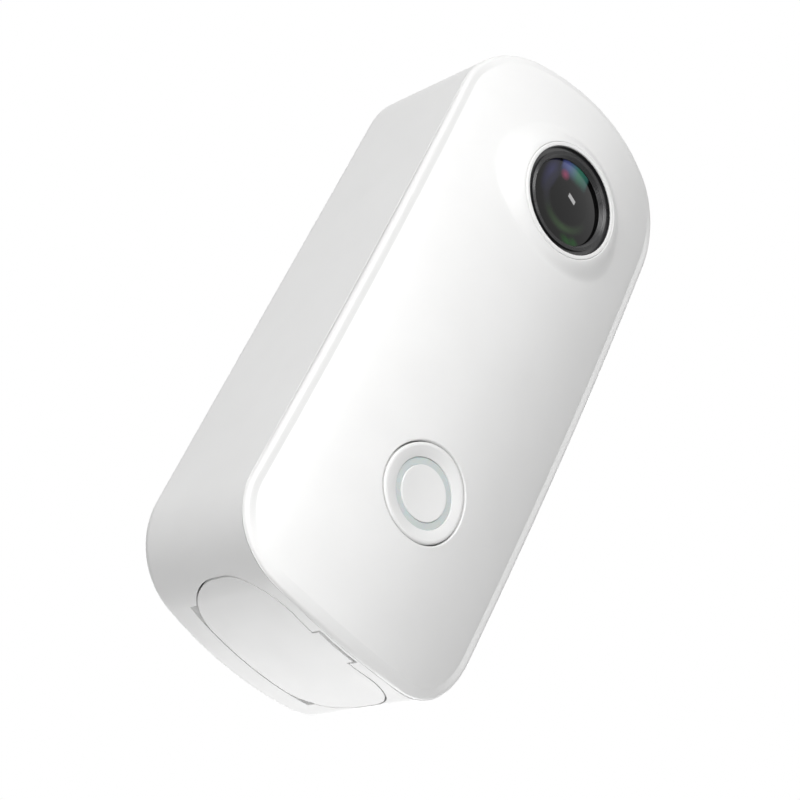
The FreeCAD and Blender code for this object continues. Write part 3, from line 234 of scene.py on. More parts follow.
# Each finish: two close tones, roughness from and to, grain in millimetres, bump, and sockets of its own
FINISHES = {
    "white_plastic": {
        "tones": ((0.86, 0.86, 0.855), (0.88, 0.88, 0.875)), "rough": (0.3, 0.38), "grain_size": 0.12,
        "bump": 0.06, "sockets": {"Specular IOR Level": 0.35}},
    "light_diffuser": {
        "tones": ((0.6, 0.635, 0.63), (0.66, 0.69, 0.685)), "rough": (0.35, 0.45), "grain_size": 0.1,
        "bump": 0.05, "sockets": {"Subsurface Weight": 0.3, "Subsurface Scale": 0.001}},
    "black_plastic": {
        "tones": ((0.012, 0.012, 0.013), (0.02, 0.02, 0.021)), "rough": (0.22, 0.34), "grain_size": 0.08,
        "bump": 0.2},
    "grey_plastic": {
        "tones": ((0.16, 0.16, 0.17), (0.2, 0.2, 0.21)), "rough": (0.4, 0.55), "grain_size": 0.1,
        "bump": 0.3},
    "soft_rubber": {
        "tones": ((0.05, 0.05, 0.052), (0.07, 0.07, 0.072)), "rough": (0.6, 0.75), "grain_size": 0.07,
        "bump": 0.4},
    "bright_steel": {
        "tones": ((0.6, 0.6, 0.59), (0.68, 0.68, 0.67)), "rough": (0.2, 0.34), "grain_size": 0.05,
        "bump": 0.15, "sockets": {"Metallic": 1.0}},
    "magnet_plating": {
        "tones": ((0.55, 0.54, 0.52), (0.62, 0.61, 0.59)), "rough": (0.22, 0.3), "grain_size": 0.06,
        "bump": 0.1, "sockets": {"Metallic": 1.0}},
    "circuit_board": {
        "tones": ((0.008, 0.06, 0.035), (0.012, 0.09, 0.05)), "rough": (0.3, 0.42), "grain_size": 0.4,
        "bump": 0.5, "tone_size": 0.9},
    "chip_package": {
        "tones": ((0.018, 0.018, 0.02), (0.03, 0.03, 0.032)), "rough": (0.5, 0.62), "grain_size": 0.06,
        "bump": 0.4},
    "cell_pouch": {
        "tones": ((0.5, 0.5, 0.52), (0.62, 0.62, 0.64)), "rough": (0.3, 0.45), "grain_size": 0.5,
        "bump": 0.5, "sockets": {"Metallic": 0.8}},
    "flex_film": {
        "tones": ((0.5, 0.2, 0.04), (0.6, 0.26, 0.06)), "rough": (0.3, 0.4), "grain_size": 0.2,
        "bump": 0.2, "tone_size": 1.0},
    "connector_plastic": {
        "tones": ((0.55, 0.52, 0.44), (0.62, 0.59, 0.5)), "rough": (0.4, 0.5), "grain_size": 0.1,
        "bump": 0.2},
    "gold_contact": {
        "tones": ((0.75, 0.52, 0.2), (0.82, 0.6, 0.26)), "rough": (0.2, 0.3), "grain_size": 0.05,
        "bump": 0.1, "sockets": {"Metallic": 1.0}},
    "clear_lamp": {
        "tones": ((0.8, 0.75, 0.5), (0.88, 0.84, 0.62)), "rough": (0.2, 0.3), "grain_size": 0.1,
        "bump": 0.1},
}
NOISE_LOW = 0.3
NOISE_HIGH = 0.7
TONE_SIZE = 6.0
GLOSS_SIZE = 2.5
BUMP_DISTANCE = 0.00002

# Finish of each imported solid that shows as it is
NODE_FINISHES = {
    "soft_rubber": ["cover_gasket", "door_seal", "button_seal"],
    "grey_plastic": ["port_panel", "battery_tray"],
    "bright_steel": [
        "door_hinge_pin", "hinge_bracket", "usb_socket", "microsd_socket", "shield_can", "magnet_yoke",
        "microphone_mesh", "board_screw_1", "board_screw_2", "board_screw_3", "board_screw_4"],
    "black_plastic": ["lens_barrel", "lens_holder", "switch_housing", "switch_plunger"],
    "circuit_board": ["main_board", "sensor_board"],
    "chip_package": [
        "image_processor", "memory_chip", "wifi_antenna", "microphone", "image_sensor", "microsd_card"],
    "cell_pouch": ["battery"],
    "flex_film": ["sensor_flex"],
    "connector_plastic": ["battery_connector", "board_connector", "usb_tongue"],
    "magnet_plating": ["back_magnet_upper", "back_magnet_lower"],
    "clear_lamp": ["status_light_1", "status_light_2", "status_light_3", "status_light_4"],
    "coated_glass": ["lens_rear_element", "ir_filter"],
}

# How many steps each outline part, each full turn and each rounding has
SIDE_STEPS = 64
CORNER_STEPS = 32
END_STEPS = 36
TURN_STEPS = 180
ROUND_STEPS = 5

# Spacing of the points that fill the face and the cover's inside, how near to an edge they come as a share
# of that spacing, and how far within its ring a hole counts as open
FACE_SPACING = 0.62
INSIDE_SPACING = 1.6
CLEAR_SHARE = 0.6
BOSS_MARGIN = 0.03
HOLE_MARGIN = 0.02
FILL_PRECISION = 1e-7

# How near points are joined, in metres, and what counts as on the axis, on the face and at a hole's rim
MERGE_DISTANCE = 1e-7
SOLID_MERGE_DISTANCE = 2e-7
ON_AXIS = 1e-6
ON_FACE = 0.001
HOLE_RIM = 0.1
SLOPE_STEP = 0.02

# Angles in degrees past which an edge stays sharp
COVER_SHARP = 50
TURNED_SHARP = 40
GLASS_SHARP = 30
BEZEL_SHARP = 25
SOLID_SHARP = 32

Corner = namedtuple("Corner", "radius height rounding follow", defaults=(0.0, 0.0))


def outline_points():
    """The body's outline as (x, z, outward x, outward z), once round from the lower right."""
    corner_x = HALF_WIDTH - CORNER_RADIUS
    end_z = HALF_LENGTH - END_RADIUS
    corner_z = end_z + math.sqrt((END_RADIUS - CORNER_RADIUS) ** 2 - corner_x ** 2)
    lean = math.asin(corner_x / (END_RADIUS - CORNER_RADIUS))
    half = []
    for step in range(SIDE_STEPS):
        half.append((HALF_WIDTH, corner_z * (2 * step / SIDE_STEPS - 1), 1.0, 0.0))
    arcs = [
        (corner_x, corner_z, CORNER_RADIUS, 0.0, math.pi / 2 - lean, CORNER_STEPS),
        (0.0, end_z, END_RADIUS, math.pi / 2 - lean, math.pi / 2 + lean, END_STEPS),
        (-corner_x, corner_z, CORNER_RADIUS, math.pi / 2 + lean, math.pi, CORNER_STEPS),
    ]
    for middle_x, middle_z, radius, start, end, steps in arcs:
        for step in range(steps):
            angle = start + (end - start) * step / steps
            across, along = math.cos(angle), math.sin(angle)
            half.append((middle_x + radius * across, middle_z + radius * along, across, along))
    return half + [(-x, -z, -across, -along) for x, z, across, along in half]


def moved_in(point, inset):
    """An outline point moved in by inset."""
    x, z, across, along = point
    return x - inset * across, z - inset * along


def dome_height(x, z, radius, crown_radius, depth):
    """Height of a dome over x, z, with one radius across and one along."""
    level = crown_radius - radius + math.sqrt(radius ** 2 - x ** 2)
    return depth - crown_radius + math.sqrt(level ** 2 - z ** 2)


def face_height(x, z):
    """Height of the domed face."""
    return dome_height(x, z, DOME_RADIUS, CROWN_RADIUS, FACE_DEPTH)


def seam_height(x, z):
    """Height of the seam between the cover and the deep shell."""
    return dome_height(x, z, RIM_RADIUS, RIM_CROWN_RADIUS, RIM_DEPTH)


def lesser(first, second, blend):
    """The smaller of two heights, rounded over where they meet."""
    overlap = max(blend - abs(first - second), 0.0) / blend
    return min(first, second) - overlap ** 2 * blend / 4


def boss_height(x, z):
    """Height of the face near the lens, where a cone with a rounded lip and foot rises into the boss."""
    face = face_height(x, z)
    cone = BOSS_FRONT - (math.hypot(x, z - LENS_Z) - CONE_TOP) * CONE_SLOPE
    lip = lesser(cone, BOSS_FRONT, LIP_BLEND)
    return -lesser(-lip, -face, FOOT_BLEND)


class Skin:
    """Points and faces of one piece, in millimetres, with the height along -Y."""

    def __init__(self):
        self.points = []
        self.faces = []

    def loop(self, places):
        """Add points from (x, z, height) and return their numbers."""
        start = len(self.points)
        self.points += [(x, -height, z) for x, z, height in places]
        return list(range(start, len(self.points)))

    def bridge(self, first, second):
        """Join two loops of the same length with quads."""
        count = len(first)
        for step in range(count):
            following = (step + 1) % count
            self.faces.append((first[step], first[following], second[following], second[step]))

    def fill(self, outer, holes, spacing, height):
        """Fill between an outer loop and round holes with even triangles."""
        loops = [outer] + [ring for ring, _, _ in holes]
        numbers = [number for ring in loops for number in ring]
        flat = [Vector((self.points[number][0], self.points[number][2])) for number in numbers]
        edges = []
        start = 0
        for ring in loops:
            edges += [(start + step, start + (step + 1) % len(ring)) for step in range(len(ring))]
            start += len(ring)
        fence = flat[:len(outer)]
        clear = spacing * CLEAR_SHARE
        rows = int(2 * HALF_LENGTH / spacing)
        columns = int(2 * HALF_WIDTH / spacing)
        for row in range(rows + 1):
            for column in range(columns + 1):
                x = -HALF_WIDTH + (column + 0.5 * (row % 2)) * spacing
                z = -HALF_LENGTH + row * spacing
                if is_inside(x, z, fence, clear) and outside_holes(x, z, holes, clear):
                    flat.append(Vector((x, z)))
        for place in flat[len(numbers):]:
            self.points.append((place.x, -height(place.x, place.y), place.y))
            numbers.append(len(self.points) - 1)
        found, _, triangles, origins, _, _ = delaunay_2d_cdt(flat, edges, [], 0, FILL_PRECISION)
        for triangle in triangles:
            middle = sum((found[corner] for corner in triangle), Vector((0.0, 0.0))) / 3
            in_fence = is_inside(middle.x, middle.y, fence, 0.0)
            if in_fence and outside_holes(middle.x, middle.y, holes, 0.0):
                self.faces.append([numbers[origins[corner][0]] for corner in triangle])

    def piece(self, name):
        """Turn it into a smooth closed mesh, in metres, with its faces outwards."""
        mesh = bpy.data.meshes.new(name)
        scaled = [(x * MM, y * MM, z * MM) for x, y, z in self.points]
        mesh.from_pydata(scaled, [], self.faces)
        sheet = bmesh.new()
        sheet.from_mesh(mesh)
        bmesh.ops.remove_doubles(sheet, verts=sheet.verts, dist=MERGE_DISTANCE)
        bmesh.ops.recalc_face_normals(sheet, faces=sheet.faces)
        sheet.to_mesh(mesh)
        sheet.free()
        mesh.shade_smooth()
        made = bpy.data.objects.new(name, mesh)
        bpy.context.scene.collection.objects.link(made)
        return made


def is_inside(x, z, fence, margin):
    """True if x, z lies inside a closed outline, and this far from its corners."""
    inside = False
    count = len(fence)
    for step in range(count):
        a, b = fence[step], fence[(step + 1) % count]
        if (a.y > z) != (b.y > z) and x < (b.x - a.x) * (z - a.y) / (b.y - a.y) + a.x:
            inside = not inside
    if not inside or margin == 0:
        return inside
    return all(abs(corner.x - x) + abs(corner.y - z) > margin for corner in fence)


def outside_holes(x, z, holes, margin):
    """True if x, z lies outside each round hole by margin."""
    return all(math.hypot(x, z - middle) > radius + margin for _, middle, radius in holes)


def circle(radius, middle, height):
    """A level or face-following ring about the line at z = middle."""
    places = []
    for step in range(TURN_STEPS):
        angle = 2 * math.pi * step / TURN_STEPS
        x = radius * math.cos(angle)
        z = middle + radius * math.sin(angle)
        places.append((x, z, height(x, z) if callable(height) else height))
    return places


def rim_profile(point):
    """The cover's edge at one outline point, as (inset, height) from its underside to the face."""
    crease_x, crease_z = moved_in(point, BAND_WIDTH)
    crease = face_height(crease_x, crease_z)
    tilt = BAND_TILT_SIDE + (BAND_TILT_END - BAND_TILT_SIDE) * point[3] ** 2
    slope = math.tan(tilt)
    top_inset = LIP_ROUND * (1 - math.sin(tilt))
    top = crease - (BAND_WIDTH - top_inset) * slope
    middle = top - LIP_ROUND * math.cos(tilt)
    under = seam_height(point[0], point[1])
    rows = [(SEAM_CHAMFER, under), (0.0, under + SEAM_CHAMFER)]
    for step in range(LIP_STEPS + 1):
        angle = (math.pi / 2 - tilt) * step / LIP_STEPS
        rows.append((LIP_ROUND * (1 - math.cos(angle)), middle + LIP_ROUND * math.sin(angle)))
    for share in BAND_SHARES:
        inset = top_inset + (BAND_WIDTH - top_inset) * share
        rows.append((inset, crease - (BAND_WIDTH - inset) * slope))
    rows.append((BAND_WIDTH, crease + CREASE_LIFT))
    for inset in FACE_INSETS:
        x, z = moved_in(point, inset)
        rows.append((inset, face_height(x, z)))
    return rows


def face_ring(skin, radius, middle, height, lowered):
    """Add a ring about the line at z = middle that follows a height, lowered below it."""
    return skin.loop(circle(radius, middle, lambda x, z: height(x, z) - lowered))


def edge_ring_of(skin, outline, inset, height):
    """Add the outline moved in by inset, at a height."""
    places = [moved_in(point, inset) for point in outline]
    return skin.loop([(x, z, height(x, z)) for x, z in places])


def inside_height(x, z):
    """Height of the cover's inner side."""
    return face_height(x, z) - COVER_THICKNESS


def make_cover():
    """The domed front: lip, band, face, lens boss and button hole, closed behind."""
    skin = Skin()
    outline = outline_points()
    profiles = [rim_profile(point) for point in outline]
    rings = []
    for row in range(len(profiles[0])):
        places = []
        for point, profile in zip(outline, profiles):
            inset, height = profile[row]
            places.append((*moved_in(point, inset), height))
        rings.append(skin.loop(places))
    boss_rings = []
    for step in range(int((BOSS_RING_END - BOSS_BORE) / BOSS_RING_STEP) + 1):
        radius = BOSS_BORE + step * BOSS_RING_STEP
        lowered = BORE_EDGE_DROP if step == 0 else 0.0
        boss_rings.append(face_ring(skin, radius, LENS_Z, boss_height, lowered))
    hole_rings = []
    for outwards, lowered in HOLE_EDGE:
        hole_rings.append(face_ring(skin, BUTTON_HOLE + outwards, BUTTON_Z, face_height, lowered))
    for band in (rings, boss_rings, hole_rings):
        for first, second in zip(band, band[1:]):
            skin.bridge(first, second)
    hole_end = BUTTON_HOLE + HOLE_EDGE[-1][0]
    holes = [
        (boss_rings[-1], LENS_Z, BOSS_RING_END - BOSS_MARGIN),
        (hole_rings[-1], BUTTON_Z, hole_end - HOLE_MARGIN)]
    skin.fill(rings[-1], holes, FACE_SPACING, face_height)
    edge_ring = edge_ring_of(skin, outline, PLUG_INSET, seam_height)
    inner_ring = edge_ring_of(skin, outline, PLUG_INSET, inside_height)
    skin.bridge(edge_ring, rings[0])
    skin.bridge(inner_ring, edge_ring)
    lens_ring = face_ring(skin, BOSS_BORE, LENS_Z, inside_height, 0.0)
    hole_ring = face_ring(skin, BUTTON_HOLE, BUTTON_Z, inside_height, 0.0)
    skin.bridge(lens_ring, boss_rings[0])
    skin.bridge(hole_ring, hole_rings[0])
    holes = [
        (lens_ring, LENS_Z, BOSS_BORE - HOLE_MARGIN),
        (hole_ring, BUTTON_Z, BUTTON_HOLE - HOLE_MARGIN)]
    skin.fill(inner_ring, holes, INSIDE_SPACING, inside_height)
    cover = skin.piece("face_cover")
    cover.data.set_sharp_from_angle(angle=math.radians(COVER_SHARP))
    normals = [face_normal(place.co) for place in cover.data.vertices]
    cover.data.normals_split_custom_set_from_vertices(normals)
    return cover


def face_normal(place):
    """The face's own normal at a point of the cover, or nothing away from the face."""
    x, z, height = place.x / MM, place.z / MM, -place.y / MM
    if abs(x) > HALF_WIDTH - BAND_WIDTH or abs(height - boss_height(x, z)) > ON_FACE:
        return (0.0, 0.0, 0.0)
    if math.hypot(x, z - LENS_Z) < BOSS_BORE + HOLE_RIM:
        return (0.0, 0.0, 0.0)
    if math.hypot(x, z - BUTTON_Z) < BUTTON_HOLE + HOLE_RIM:
        return (0.0, 0.0, 0.0)
    run = 2 * SLOPE_STEP
    across = (boss_height(x + SLOPE_STEP, z) - boss_height(x - SLOPE_STEP, z)) / run
    along = (boss_height(x, z + SLOPE_STEP) - boss_height(x, z - SLOPE_STEP)) / run
    return tuple(Vector((-across, -1.0, -along)).normalized())


def softened(corners):
    """A turned profile's corners as (radius, height, follow), with each rounding worked in."""
    path = []
    count = len(corners)
    for number, corner in enumerate(corners):
        here = Vector((corner.radius, corner.height))
        if corner.rounding == 0:
            path.append((corner.radius, corner.height, corner.follow))
            continue
        before = Vector(corners[number - 1][:2]) - here
        after = Vector(corners[(number + 1) % count][:2]) - here
        opening = before.angle(after)
        reach = corner.rounding / math.tan(opening / 2)
        start = here + before.normalized() * reach
        end = here + after.normalized() * reach
        inwards = (before.normalized() + after.normalized()).normalized()
        centre = here + inwards * corner.rounding / math.sin(opening / 2)
        for step in range(ROUND_STEPS + 1):
            arm = start.lerp(end, step / ROUND_STEPS) - centre
            place = centre + arm.normalized() * corner.rounding
            path.append((place.x, place.y, corner.follow))
    return path


def turned(name, corners, middle, sharp=TURNED_SHARP):
    """A piece turned about the line at z = middle. A corner's follow is its share of the face's doming."""
    skin = Skin()
    level = face_height(0, middle)
    rings = []
    tips = []
    for radius, height, follow in softened(corners):
        if radius < ON_AXIS:
            rings.append(None)
            tips.append(skin.loop([(0.0, middle, height)])[0])
            continue
        rings.append(skin.loop(circle(
            radius, middle, lambda x, z: height + follow * (face_height(x, z) - level))))
        tips.append(None)
    count = len(rings)
    for number in range(count):
        following = (number + 1) % count
        first, second = rings[number], rings[following]
        if first and second:
            skin.bridge(first, second)
        elif first or second:
            ring = first or second
            tip = tips[following] if first else tips[number]
            for step in range(len(ring)):
                skin.faces.append((ring[step], ring[(step + 1) % len(ring)], tip))
    made = skin.piece(name)
    made.data.set_sharp_from_angle(angle=math.radians(sharp))
    return made


def make_button_rim():
    """The dished outer ring of the button with its flange."""
    level = face_height(0, BUTTON_Z)
    floor_radius = RING_OUTER + RING_GAP
    corners = [
        Corner(FLANGE_RADIUS, BUTTON_BACK, FLANGE_ROUND),
        Corner(FLANGE_RADIUS, FLANGE_FRONT, FLANGE_ROUND),
        Corner(BUTTON_RADIUS, FLANGE_FRONT),
        Corner(BUTTON_RADIUS, level - BUTTON_RIM_DROP, BUTTON_RIM_ROUND, 1.0),
        Corner(BUTTON_RADIUS - BUTTON_RIM, level - DISH_EDGE_DROP, DISH_EDGE_ROUND, 1.0),
        Corner(floor_radius, level - DISH_DEPTH, DISH_FOOT_ROUND),
        Corner(floor_radius, BUTTON_BACK),
    ]
    return turned("button_rim", corners, BUTTON_Z)


def make_light_ring():
    """The translucent ring in the button."""
    front = face_height(0, BUTTON_Z) - DISH_DEPTH - RING_SET_BACK
    corners = [
        Corner(RING_OUTER, BUTTON_BACK),
        Corner(RING_OUTER, front, RING_OUTER_ROUND),
        Corner(RING_INNER, front, RING_INNER_ROUND),
        Corner(RING_INNER, BUTTON_BACK),
    ]
    return turned("button_ring", corners, BUTTON_Z)


def make_button_cap():
    """The dished middle of the button with its stem."""
    front = face_height(0, BUTTON_Z) - DISH_DEPTH
    radius = RING_INNER - RING_GAP
    corners = [Corner(radius, BUTTON_BACK), Corner(radius, front, CENTRE_ROUND)]
    for share in CENTRE_SHARES:
        corners.append(Corner(radius * share, front - CENTRE_DISH * (1 - share ** 2)))
    corners += [
        Corner(0.0, front - CENTRE_DISH),
        Corner(0.0, STEM_BACK),
        Corner(STEM_RADIUS, STEM_BACK),
        Corner(STEM_RADIUS, BUTTON_BACK),
    ]
    return turned("button_cap", corners, BUTTON_Z)


def make_trim_ring():
    """The white ring round the black bezel."""
    corners = [
        Corner(TRIM_OUTER, TRIM_BACK),
        Corner(TRIM_OUTER, LENS_FRONT, TRIM_OUTER_ROUND),
        Corner(TRIM_INNER, LENS_FRONT, TRIM_INNER_ROUND),
        Corner(TRIM_INNER, TRIM_BACK),
    ]
    return turned("trim_ring", corners, LENS_Z)


def make_bezel():
    """The black ring round the glass: a groove, a strip of fine ridges and a threaded cone down to it."""
    groove_floor = BEZEL_FRONT - GROOVE_DEPTH
    ridge_foot = BEZEL_FRONT - RIDGE_DEPTH
    corners = [
        Corner(BEZEL_OUTER, GLASS_BACK),
        Corner(BEZEL_OUTER, BEZEL_FRONT, BEZEL_OUTER_ROUND),
        Corner(BEZEL_OUTER - BEZEL_LIP, BEZEL_FRONT, BEZEL_LIP_ROUND),
        Corner(BEZEL_OUTER - BEZEL_LIP - GROOVE_LEAN, groove_floor),
        Corner(STRIP_OUTER + GROOVE_LEAN, groove_floor),
    ]
    for ridge in range(STRIP_RIDGES):
        outer = STRIP_OUTER - ridge * RIDGE_PITCH
        corners.append(Corner(outer, ridge_foot))
        corners.append(Corner(outer - RIDGE_PITCH / 2, BEZEL_FRONT, RIDGE_ROUND))
    cone_start = STRIP_OUTER - STRIP_RIDGES * RIDGE_PITCH
    drop = ridge_foot - GLASS_EDGE
    narrowing = cone_start - BEZEL_BORE
    for thread in range(CONE_THREADS):
        share = thread / CONE_THREADS
        corners.append(Corner(cone_start - narrowing * share, ridge_foot - drop * share))
        share = (thread + THREAD_RUN) / CONE_THREADS
        radius = cone_start - narrowing * share - THREAD_DEPTH
        height = ridge_foot - drop * (share - THREAD_LIFT / CONE_THREADS)
        corners.append(Corner(radius, height, THREAD_ROUND))
    corners.append(Corner(BEZEL_BORE, GLASS_EDGE))
    corners.append(Corner(BEZEL_BORE, GLASS_BACK))
    return turned("bezel", corners, LENS_Z, sharp=BEZEL_SHARP)


def lens_corners(radius, back, steps, height):
    """A lens's profile, from its back edge over its domed front to the middle of its back."""
    corners = [Corner(radius, back)]
    for step in range(steps, -1, -1):
        place = radius * step / steps
        corners.append(Corner(place, height(place)))
    corners.append(Corner(0.0, back))
    return corners


def make_front_glass():
    """The domed front element."""
    def height(place):
        return GLASS_APEX - GLASS_SPHERE + math.sqrt(GLASS_SPHERE ** 2 - place ** 2)

    corners = lens_corners(GLASS_RADIUS, GLASS_BACK, GLASS_STEPS, height)
    return turned("front_glass", corners, LENS_Z, sharp=GLASS_SHARP)


def make_inner_glass():
    """The coated element behind the front one."""
    def height(place):
        return INNER_FRONT - INNER_BOW * (place / INNER_RADIUS) ** 2

    corners = lens_corners(INNER_RADIUS, INNER_BACK, INNER_STEPS, height)
    return turned("inner_glass", corners, LENS_Z, sharp=GLASS_SHARP)


def wired(tree, kind, **links):
    """A new node with its named inputs linked."""
    made = tree.nodes.new(kind)
    for socket, source in links.items():
        tree.links.new(source, made.inputs[socket])
    return made


def contact_tree(finish):
    """A node tree that lays out straight rows of small bars, with its sizes as named inputs."""
    tree = bpy.data.node_groups.new("contact_rows", "GeometryNodeTree")
    tree.interface.new_socket("Geometry", in_out="OUTPUT", socket_type="NodeSocketGeometry")
    tree.interface.new_socket("Count", in_out="INPUT", socket_type="NodeSocketInt")
    for name in ("Pitch", "Contact Width", "Contact Length", "Contact Height", "Row Spacing"):
        tree.interface.new_socket(name, in_out="INPUT", socket_type="NodeSocketFloat")
    given = tree.nodes.new("NodeGroupInput").outputs
    step = wired(tree, "ShaderNodeCombineXYZ", X=given["Pitch"])
    line = wired(tree, "GeometryNodeMeshLine", Count=given["Count"], Offset=step.outputs["Vector"])
    bar_size = wired(
        tree, "ShaderNodeCombineXYZ",
        X=given["Contact Width"], Y=given["Contact Height"], Z=given["Contact Length"])
    bar = wired(tree, "GeometryNodeMeshCube", Size=bar_size.outputs["Vector"])
    shift = wired(tree, "ShaderNodeCombineXYZ", Y=given["Row Spacing"])
    rows = wired(tree, "GeometryNodeMeshLine", Offset=shift.outputs["Vector"])
    rows.inputs["Count"].default_value = CONTACT_ROWS
    row = wired(
        tree, "GeometryNodeInstanceOnPoints", Points=line.outputs["Mesh"], Instance=bar.outputs["Mesh"])
    both = wired(
        tree, "GeometryNodeInstanceOnPoints", Points=rows.outputs["Mesh"], Instance=row.outputs["Instances"])
    solid = wired(tree, "GeometryNodeRealizeInstances", Geometry=both.outputs["Instances"])
    dressed = wired(tree, "GeometryNodeSetMaterial", Geometry=solid.outputs["Geometry"])
    dressed.inputs["Material"].default_value = finish
    wired(tree, "NodeGroupOutput", Geometry=dressed.outputs["Geometry"])
    return tree


def make_contacts(finish):
    """A row of gold contacts on each face of the USB tongue."""
    low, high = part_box("usb_tongue")
    tree = contact_tree(finish)
    sizes = {
        "Count": CONTACT_COUNT,
        "Pitch": CONTACT_PITCH * MM,
        "Contact Width": CONTACT_WIDTH * MM,
        "Contact Length": CONTACT_LENGTH * MM,
        "Contact Height": CONTACT_HEIGHT * MM,
        "Row Spacing": high[1] - low[1],
    }
    made = bpy.data.objects.new("usb_contacts", bpy.data.meshes.new("usb_contacts"))
    bpy.context.scene.collection.objects.link(made)
    modifier = made.modifiers.new("rows", "NODES")
    modifier.node_group = tree
    for socket in tree.interface.items_tree:
        if socket.in_out == "INPUT":
            modifier[socket.identifier] = sizes[socket.name]
    plain(made)
    row_length = CONTACT_PITCH * (CONTACT_COUNT - 1) * MM
    contact_middle = low[2] + (CONTACT_INSET + CONTACT_LENGTH / 2) * MM
    start = Vector(((low[0] + high[0] - row_length) / 2, low[1], contact_middle))
    made.data.transform(Matrix.Translation(start))
    return made


def smooth_copy(node, name):
    """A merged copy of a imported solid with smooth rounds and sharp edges."""
    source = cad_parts[node].data
    places = [tuple(vertex.co) for vertex in source.vertices]
    mesh = bpy.data.meshes.new(name)
    mesh.from_pydata(places, [], [tuple(face.vertices) for face in source.polygons])
    sheet = bmesh.new()
    sheet.from_mesh(mesh)
    bmesh.ops.remove_doubles(sheet, verts=sheet.verts, dist=SOLID_MERGE_DISTANCE)
    sheet.to_mesh(mesh)
    sheet.free()
    mesh.shade_smooth()
    mesh.set_sharp_from_angle(angle=math.radians(SOLID_SHARP))
    made = bpy.data.objects.new(name, mesh)
    bpy.context.scene.collection.objects.link(made)
    weighted = made.modifiers.new("even", "WEIGHTED_NORMAL")
    weighted.keep_sharp = True
    return plain(made)


def plain(made):
    """Work a piece's modifiers into its mesh."""
    evaluated = made.evaluated_get(bpy.context.evaluated_depsgraph_get())
    mesh = bpy.data.meshes.new_from_object(evaluated)
    made.modifiers.clear()
    made.data = mesh
    mesh.name = made.name
    return made


def new_material(name):
    """A new material with its node tree, its shader and its object coordinates in millimetres."""
    material = bpy.data.materials.new(name)
    material.use_nodes = True
    tree = material.node_tree
    shader = tree.nodes["Principled BSDF"]
    place = tree.nodes.new("ShaderNodeTexCoord")
    scale = tree.nodes.new("ShaderNodeMapping")
    scale.inputs["Scale"].default_value = (1 / MM, 1 / MM, 1 / MM)
    tree.links.new(place.outputs["Object"], scale.inputs["Vector"])
    return material, tree, shader, scale.outputs["Vector"]


def grain(tree, place, size, detail=3.0):
    """Noise with a grain of this size in millimetres."""
    noise = wired(tree, "ShaderNodeTexNoise", Vector=place)
    noise.inputs["Scale"].default_value = 1 / size
    noise.inputs["Detail"].default_value = detail
    return noise.outputs["Fac"]


def ranged(tree, value, low, high, start, end):
    """A value that goes from low to high as another goes from start to end."""
    spread = wired(tree, "ShaderNodeMapRange", Value=value)
    spread.inputs["From Min"].default_value = start
    spread.inputs["From Max"].default_value = end
    spread.inputs["To Min"].default_value = low
    spread.inputs["To Max"].default_value = high
    return spread.outputs["Result"]


def uneven_gloss(tree, place, size, low, high):
    """A roughness that wanders between low and high over this many millimetres."""
    return ranged(tree, grain(tree, place, size), low, high, NOISE_LOW, NOISE_HIGH)


def finish_of(name, tones, rough, grain_size, bump, tone_size=TONE_SIZE, sockets=None):
    """A moulded, plated or printed finish: two close tones, uneven gloss and a fine grain."""
    material, tree, shader, place = new_material(name)
    stops = list(zip((NOISE_LOW, NOISE_HIGH), tones))
    tree.links.new(ramp_of(tree, grain(tree, place, tone_size), stops), shader.inputs["Base Color"])
    tree.links.new(uneven_gloss(tree, place, GLOSS_SIZE, *rough), shader.inputs["Roughness"])
    relief = wired(tree, "ShaderNodeBump", Height=grain(tree, place, grain_size, 2.0))
    relief.inputs["Strength"].default_value = bump
    relief.inputs["Distance"].default_value = BUMP_DISTANCE
    tree.links.new(relief.outputs["Normal"], shader.inputs["Normal"])
    for socket, value in (sockets or {}).items():
        shader.inputs[socket].default_value = value
    return material


